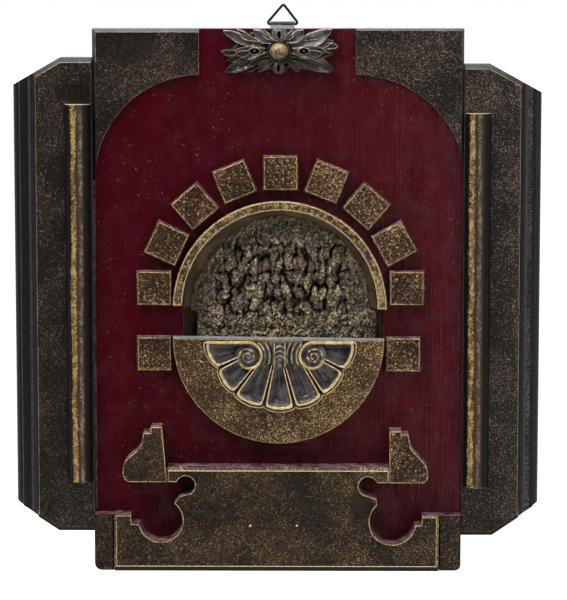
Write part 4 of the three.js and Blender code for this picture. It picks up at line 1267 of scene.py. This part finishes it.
def stem_piece():
    """The bundle between the scrolls: a railed column between curved reeds"""
    wide, tall = STEM["grid"]
    x = np.linspace(STEM["x"] - STEM["half"], STEM["x"] + STEM["half"], wide)
    x, y = np.meshgrid(x, np.linspace(STEM["top"], STEM["bottom"], tall))
    aside = np.abs(x - STEM["x"])
    down = (STEM["top"] - y) / (STEM["top"] - STEM["bottom"])
    inner = smooth(aside, STEM["column"] + 0.4, STEM["column"] - 0.3)
    column, column_gilt = stem_column(x, y, aside, down)
    reeds, reed_gilt = stem_reeds(x, y)
    rise = reeds * (1 - inner) + column * inner
    marks = {"gilt": inner * column_gilt + (1 - inner) * reed_gilt}
    return carved_sheet("shell_stem", x, y, np.maximum(rise, STEM["least"]), "slate", marks, {"gilt": 0.0})


def trimmed_sheet(name, x, y, z, marks, keep, border, paint):
    """A carved grid cut to an outline, with its outermost points dropped to the surface it lies on"""
    index = np.arange(x.size).reshape(x.shape)
    cell = keep[:-1, :-1] | keep[1:, :-1] | keep[:-1, 1:] | keep[1:, 1:]
    corners = [index[:-1, :-1][cell], index[:-1, 1:][cell], index[1:, 1:][cell], index[1:, :-1][cell]]
    used, packed, uses = np.unique(np.stack(corners, axis=1), return_inverse=True, return_counts=True)
    height = z.ravel()[used].copy()
    height[uses < len(corners)] = border
    points = np.stack([x.ravel()[used], y.ravel()[used], height], axis=1)
    faces = packed.reshape(-1, len(corners)).tolist()
    marks = {key: values.ravel()[used] for key, values in marks.items()}
    return make_object(name, points, faces, paint, marks, 75)


# Rosette
class Carving:
    """Heights on a grid that pieces are laid over, with marks from 0 to 1 for gilding and for painted shade
    in pits
    """

    def __init__(self, x, y, ground):
        self.x, self.y = x, y
        self.height = ground
        self.gilt = np.zeros_like(x)
        # Painted shade: the low ground between the leaves starts out dark
        self.pit = smooth(ground, 0.0, 0.6)

    def lay(self, height, gilt, pit=None):
        """Lay a piece over the ground; it brings its marks wherever it is the higher one"""
        higher = height > self.height
        self.gilt = np.where(higher, gilt, self.gilt)
        if pit is not None:
            self.pit = np.where(higher, pit, self.pit)
        self.height = np.maximum(self.height, height)


def leaf_field(x, y, root, tip, wide, rise):
    """Height and rim gilding of one leaf: a hollow pointed blade with a raised rim and a vein"""
    axis = np.array(tip, float) - np.array(root, float)
    length = np.hypot(*axis)
    axis /= length
    along = ((x - root[0]) * axis[0] + (y - root[1]) * axis[1]) / length
    offset = -(x - root[0]) * axis[1] + (y - root[1]) * axis[0]
    bend = 1.3 * np.sign(root[0] * axis[1] - root[1] * axis[0] + TINY)
    share = np.clip(along, 0.0, 1.0)
    offset = offset - bend * np.sin(share * np.pi)
    half = (wide / 2) * np.sin(np.pi * (0.12 + 0.88 * share**1.25)) ** 0.8
    inside = (along > -0.04) & (along < 1.0)
    depth = np.where(inside, half - np.abs(offset), -1.0)
    blade = smooth(depth, 0.0, 0.45)
    rim = bump_at(depth - 0.55, 0.38)
    vein = bump_at(offset, 0.35) * smooth(share, 0.05, 0.2) * smooth(share, 0.98, 0.85)
    hollow = 2.3 * smooth(depth, 0.6, np.maximum(half, 1.2))
    body = rise * (0.86 + 0.14 * np.sin(np.pi * share)) - hollow + 0.6 * rim + 0.5 * vein
    return blade * body, np.clip(blade * np.maximum(rim, vein * 0.45), 0, 1)


def carve_leaves(carving):
    x, y = carving.x, carving.y
    warped_x = x + 0.45 * layered_noise(x, y, 6.0, 51)
    warped_y = y + 0.45 * layered_noise(x, y, 6.0, 61)
    for leaf in LEAVES + EYE_LEAVES:
        carving.lay(*leaf_field(warped_x, warped_y, *leaf), 0.0)


def carve_eyes(carving):
    """A small leaf beside each eye, and the eye's lid, pit and ball"""
    x, y = carving.x, carving.y
    for pit_x, pit_y, side in EYE_PITS:
        root, tip = (pit_x + side * 2.5, pit_y - 0.2), (pit_x + side * 13.5, pit_y - 1.4)
        carving.lay(*leaf_field(x, y, root, tip, 6.0, 8.9))
        distance = oval(x, y, (pit_x, pit_y), EYE_HALF)
        lid = bump_at(distance - 1.12, 0.2)
        ball = np.sqrt(np.clip(1 - (distance / 0.46) ** 2, 0, 1))
        carving.height = carving.height + 1.2 * lid - 4.2 * smooth(distance, 1.0, 0.6) + 4.6 * ball
        carving.gilt = np.maximum(carving.gilt * smooth(distance, 0.8, 1.0), np.maximum(lid * 0.9, ball))
        carving.pit = np.maximum(carving.pit, smooth(distance, 1.0, 0.8) * (ball < 0.3))


def carve_buds(carving):
    """The corded buds above and below the ball, each with a slit"""
    for bud_x, bud_y, size, rise in BUDS:
        distance = oval(carving.x, carving.y, (bud_x, bud_y), (size, size))
        slit = oval(carving.x, carving.y, (bud_x, bud_y), BUD_SLIT)
        mask = smooth(distance, 1.0, 0.92)
        cords = bump_at((distance * 3.1) % 1.0 - 0.5, 0.22) * mask
        dome = rise * np.sqrt(np.clip(1 - distance**2 * 0.6, 0.05, 1)) * mask
        dome = dome + 0.5 * cords - 4.6 * smooth(slit, 1.25, 0.7) * mask
        # Painted shade in the slit and between the cords
        pit = np.maximum(smooth(slit, 1.1, 0.8), 0.6 * (1.0 - cords))
        carving.lay(dome, 0.75 * cords * smooth(slit, 0.9, 1.3), pit)


def carve_ball(carving):
    """The collar and the ball in the middle; gives back where the ball is"""
    distance = np.hypot(carving.x, carving.y)
    collar = ROSETTE["collar_rise"] * smooth(distance, 9.0, 8.1) + 1.1 * bump_at(distance - 7.9, 0.6)
    carving.lay(collar * (distance < ROSETTE["collar"]), 0.1, 0.55)
    radius = ROSETTE["ball"]
    on_ball = distance < radius
    dome = ROSETTE["ball_rise"] + np.sqrt(np.clip(radius**2 - distance**2, 0, None)) * 0.98
    carving.gilt = np.where(on_ball, 0.0, carving.gilt)
    carving.pit = np.where(on_ball, 0.0, carving.pit)
    carving.height = np.where(on_ball, np.maximum(carving.height, dome), carving.height)
    return on_ball


def rosette_piece():
    (half_x, half_y), step = ROSETTE["half"], ROSETTE["step"]
    x, y = grid_over(-half_x, half_x + step, -half_y, half_y + step, step)
    ground = ROSETTE["ground"] + 0.7 * layered_noise(x, y, 4.0, 21)
    frayed = 1.6 * layered_noise(x, y, 6.0, 31)
    reach = oval(x, y, (0, 0), ROSETTE["spread"]) * 10.0
    carving = Carving(x, y, ground * smooth(reach + frayed, 11.4, 10.2))
    carve_leaves(carving)
    carve_eyes(carving)
    carve_buds(carving)
    on_ball = carve_ball(carving)
    height = carving.height
    height = height + 0.12 * layered_noise(x, y, 1.4, 41) * smooth(height, 0.3, 1.0)
    marks = {"gilt": carving.gilt, "pit": carving.pit, "ball": on_ball.astype(float)}
    x, y = x + ROSETTE["x"], y + ROSETTE["y"]
    keep = height > ROSETTE["cut"]
    return trimmed_sheet("rosette_carving", x, y, FACE + height, marks, keep, ON_BOARD, "leaf")


# Rough mass
def grotto_outline(x, y, aside):
    """Share of the mass's full thickness, thinning to nothing at the niche's wall and at its foot"""
    lean = 4.0 * smooth(x, -10.0, -40.0) * smooth(y, 5.0, 25.0)
    rim = np.clip((NICHE["radius"] - 2.5 - lean - aside) / GROTTO["rim_taper"], 0, 1)
    foot = smooth(y, -6.0, -10.0)
    foot_left = np.minimum(rim, np.clip((x - GROTTO["foot_left"]) / GROTTO["foot_taper"], 0, 1))
    foot_right = np.clip((GROTTO["foot_right"] - x) / GROTTO["foot_taper"], 0, 1)
    return rim * (1 - foot) + np.where(x > 0, foot_right, foot_left) * foot


def grotto_zones(x, y):
    """The tall knobs in the middle, the low band under them, and the plain patch at the upper right"""
    spread = 3.0 * layered_noise(x, y, 14.0, 43)
    middle = smooth(y + spread, 44.0, 32.0) * smooth(y + spread, -16.0, -4.0)
    middle = middle * smooth(np.abs(x - 1 + spread), 52.0, 40.0)
    return middle, smooth(y + spread, -3.0, -13.0), bump_at(oval(x, y, *GROTTO["plain"]), 1.0)


def grotto_keep(x, y, aside, low):
    """The part of the grid inside the niche, less its outermost points"""
    by_wall = NICHE["radius"] - 0.5 - aside
    inset = np.where((y < -6) & (x > 0), NICHE["right"] - 0.35 - x, by_wall)
    keep = (inset > 0) & (x > NICHE["left"] + 0.5) & (low > 0.02)
    keep[1:-1, 1:-1] &= keep[:-2, 1:-1] & keep[2:, 1:-1] & keep[1:-1, :-2] & keep[1:-1, 2:]
    return keep


def grotto_piece():
    """Upright knobs, small knobs and grains over each other, with crinkles and crumbs"""
    x, y = grid_over(*[GROTTO[key] for key in ("left", "right", "bottom", "top", "step")])
    aside = np.hypot(x - NICHE["x"], np.maximum(0, y - NICHE["y"]))
    low = grotto_outline(x, y, aside)
    middle, lower, plain = grotto_zones(x, y)
    bend_x = x + 1.5 * layered_noise(x, y, 5.0, 3)
    bend_y = y + 1.8 * layered_noise(x, y, 5.0, 13)
    tall, tall_number = knobs(bend_x, bend_y, 4.8, 9.6, 2, 0.60)
    small, small_number = knobs(bend_x, bend_y, 2.9, 3.6, 7, 0.60)
    fine, fine_number = knobs(bend_x, bend_y, 1.5, 1.7, 11, 0.62)
    crinkle = np.clip(1.0 - np.abs(layered_noise(x, y * 0.6, 3.0, 53)) / 0.55, 0, 1)
    crumbs = layered_noise(x, y, 2.0, 23)
    height = GROTTO["floor"] + GROTTO["crown"] * low**0.7
    height = height + middle * (8.4 * tall**0.7 - 6.6 + 0.8 * small) + (1.0 - middle) * (1.4 * small - 0.4)
    height = height + lower * 2.0 * tall * smooth(np.abs(x - 4), 66.0, 58.0)
    rough = 1.5 * crinkle + (0.8 - 0.5 * plain) * fine + 0.7 * crumbs
    height = np.clip(height + rough * smooth(low, 0.0, 0.25), GROTTO["least"], BOARD_FRONT - 0.15)
    crest = smooth(crinkle, 0.60, 0.95) * smooth(layered_noise(x, y, 9.0, 67), -0.3, 0.5)
    tips = middle * smooth(tall, 0.45, 0.95) * 0.4 * (0.4 + 0.9 * tall_number)
    grains = smooth(fine, 0.35, 0.85) * (0.3 + 0.7 * fine_number) * smooth(small, 0.05, 0.5)
    gilt = (0.65 * crest + tips + 0.30 * grains) * (0.35 + 0.9 * tall_number) + 0.15 * small_number * small
    # Painted shade: pit marks in the gaps between the tall knobs and low among the small ones
    pit = middle * smooth(tall, 0.42, 0.05) * smooth(small, 0.9, 0.3)
    pit = np.maximum(pit, 0.7 * (1 - middle) * smooth(small, 0.12, 0.0) * smooth(fine, 0.4, 0.0))
    marks = {
        "gilt": gilt * (1.0 - 0.6 * plain) + 0.45 * lower * tall,
        "pit": pit,
        "fringe": smooth(low + 0.14 * crumbs, 0.62, 0.10),
        "tint": middle * smooth(tall_number, 0.62, 0.42) * 0.8,
    }
    keep = grotto_keep(x, y, aside, low)
    return trimmed_sheet("grotto_rockwork", x, y, height, marks, keep, GROTTO["edge"], "grotto")


# The two bright pin heads on the base overlay
def pin_heads():
    pins = []
    for side, x in PINS["x"]:
        name = "base_pin_" + side
        pins.append(turned(name, x, PINS["y"], PINS["profile"], "pin", PINS["spokes"], PINS["face"]))
    return pins


# Everything that is dressed from the CAD
def dress_wing(side):
    """A wing with its rod and its spandrel"""
    wing, rod, spandrel = side + "_wing", side + "_rod", side + "_spandrel"
    dressed(
        wing,
        "bronze_paint",
        "wing",
        line="wing_line",
        slope="chamfer",
        side="side",
        ledge="chamfer",
        width=PLANK_ARRIS,
        choose=wing_finish,
        rub=wing_rub,
        split=((MOULDING["fillet"], 0, 0), (1, 0, 0)) if side == "right" else None,
    )
    dressed(rod, "gilt", rod, line="end_line", slope=rod, side=rod, ledge="end_line")
    dressed(
        spandrel,
        "bronze_paint",
        "spandrel",
        line="line",
        slope="spandrel",
        side="side",
        ledge="top",
        choose=spandrel_finish,
        rub=spandrel_rub,
        split=((0, 0, WING_TOP), (0, 0, 1)),
    )


def dress_block(node):
    dressed(node, "bronze_paint", "block", line="line", side="side", ledge="ledge", width=BLOCK_ARRIS)


def dress_corner(side, paint):
    """A bracket and the corner block below it"""
    bracket, block = side + "_bracket", side + "_corner_block"
    dressed(bracket, "bronze_paint", paint, line="line", slope="line", side="red", ledge="ledge")
    # Painted shade: the corner block's slopes and sides are near black
    dark = {"slope": "under", "side": "under", "width": CORNER_ARRIS}
    dressed(block, "bronze_paint", "plate", ledge="ledge", **dark)


def dress_cad():
    dressed(
        "central_board",
        "red_paint",
        "red",
        line="red_edge",
        side="side",
        ledge="top",
        width=PLANK_ARRIS,
        choose=board_finish,
        split=((PALE_EDGE, 0, 0), (1, 0, 0)),
    )
    for side, paint in (("left", "plate"), ("right", "block")):
        dress_wing(side)
        dress_block(side + "_lower_block")
        dress_corner(side, paint)
    for number in range(1, 10):
        dress_block("arch_block_" + str(number))
    dressed("arch_ring", "bronze_paint", "ring", line="bright_line", slope="stipple", side="side")
    dressed("half_disc", "bronze_paint", "disc", line="line", slope="disc", side="side", ledge="shelf")
    dressed(
        "base_overlay",
        "bronze_paint",
        "plate",
        line="line",
        slope="disc",
        side="red",
        ledge="ledge",
        width=BLOCK_ARRIS,
        choose=overlay_finish,
        rub=overlay_rub,
    )
    dressed("hanger_strap", "strap_steel", "strap", width=STRAP_ARRIS)
    dressed("hanger_triangle", "wire", "wire", width=WIRE_ARRIS, body="hanger")


def carve_pieces():
    shell = shell_piece()
    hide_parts("shell")
    parts = [shell, stem_piece(), bead_pieces(), outer_line()]
    for side, data in SCROLLS.items():
        parts += scroll_pieces(side, data)
    for pin in pin_heads():
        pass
    rosette = rosette_piece()
    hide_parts("rosette")
    grotto = grotto_piece()
    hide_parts("grotto_mass")


# Studio
def add_floor():
    size, near, far, height = FLOOR["size"], FLOOR["near"], FLOOR["far"], FLOOR["height"]
    mesh = bpy.data.meshes.new("floor")
    corners = [(-size, near, height), (size, near, height), (size, far, height), (-size, far, height)]
    mesh.from_pydata(corners, [], [(0, 1, 2, 3)])
    mesh.materials.append(pale_floor())
    floor = add_object("floor", mesh)


def add_lamp(name, location, size, power):
    """A rectangular lamp that faces the relief"""
    data = bpy.data.lights.new(name, "AREA")
    data.shape = "RECTANGLE"
    data.size, data.size_y = size
    data.energy = power
    lamp = add_object(name, data)
    lamp.location = location
    lamp.rotation_euler = (-Vector(location)).to_track_quat("-Z", "Y").to_euler()


def add_sky():
    world = bpy.data.worlds.new("studio")
    bpy.context.scene.world = world
    world.use_nodes = True
    nodes, links = world.node_tree.nodes, world.node_tree.links
    split = nodes.new("ShaderNodeSeparateXYZ")
    links.new(nodes.new("ShaderNodeTexCoord").outputs["Generated"], split.inputs[0])
    ramp = nodes.new("ShaderNodeMapRange")
    links.new(split.outputs["Y"], ramp.inputs["Value"])
    for name, value in SKY.items():
        ramp.inputs[name].default_value = value
    background = nodes["Background"]
    links.new(ramp.outputs["Result"], background.inputs["Strength"])
    background.inputs["Color"].default_value = (1.0, 1.0, 1.0, 1.0)


def add_camera():
    up, side = math.radians(CAMERA["up"]), math.radians(CAMERA["side"])
    back = Vector((math.sin(side) * math.cos(up), -math.cos(side) * math.cos(up), math.sin(up)))
    data = bpy.data.cameras.new("camera")
    data.sensor_fit = "VERTICAL"
    data.sensor_height = CAMERA["sensor"]
    data.lens = CAMERA["sensor"] * CAMERA["distance"] / (PHOTO_ROWS * MM_PER_PIXEL)
    data.clip_start, data.clip_end = CLIP
    camera = add_object("camera", data)
    camera.location = Vector(place(*CAMERA["aim"])) + back * mm(CAMERA["distance"])
    camera.rotation_euler = (-back).to_track_quat("-Z", "Y").to_euler()
    bpy.context.scene.camera = camera


def write_sizes():
    def plain(bounds):
        return [[float(value) for value in corner] for corner in bounds]


dress_cad()
carve_pieces()
add_floor()
for lamp_name, lamp_values in LAMPS.items():
    add_lamp(lamp_name, *lamp_values)
add_sky()
add_camera()
bpy.context.scene.view_settings.view_transform = "Standard"
write_sizes()
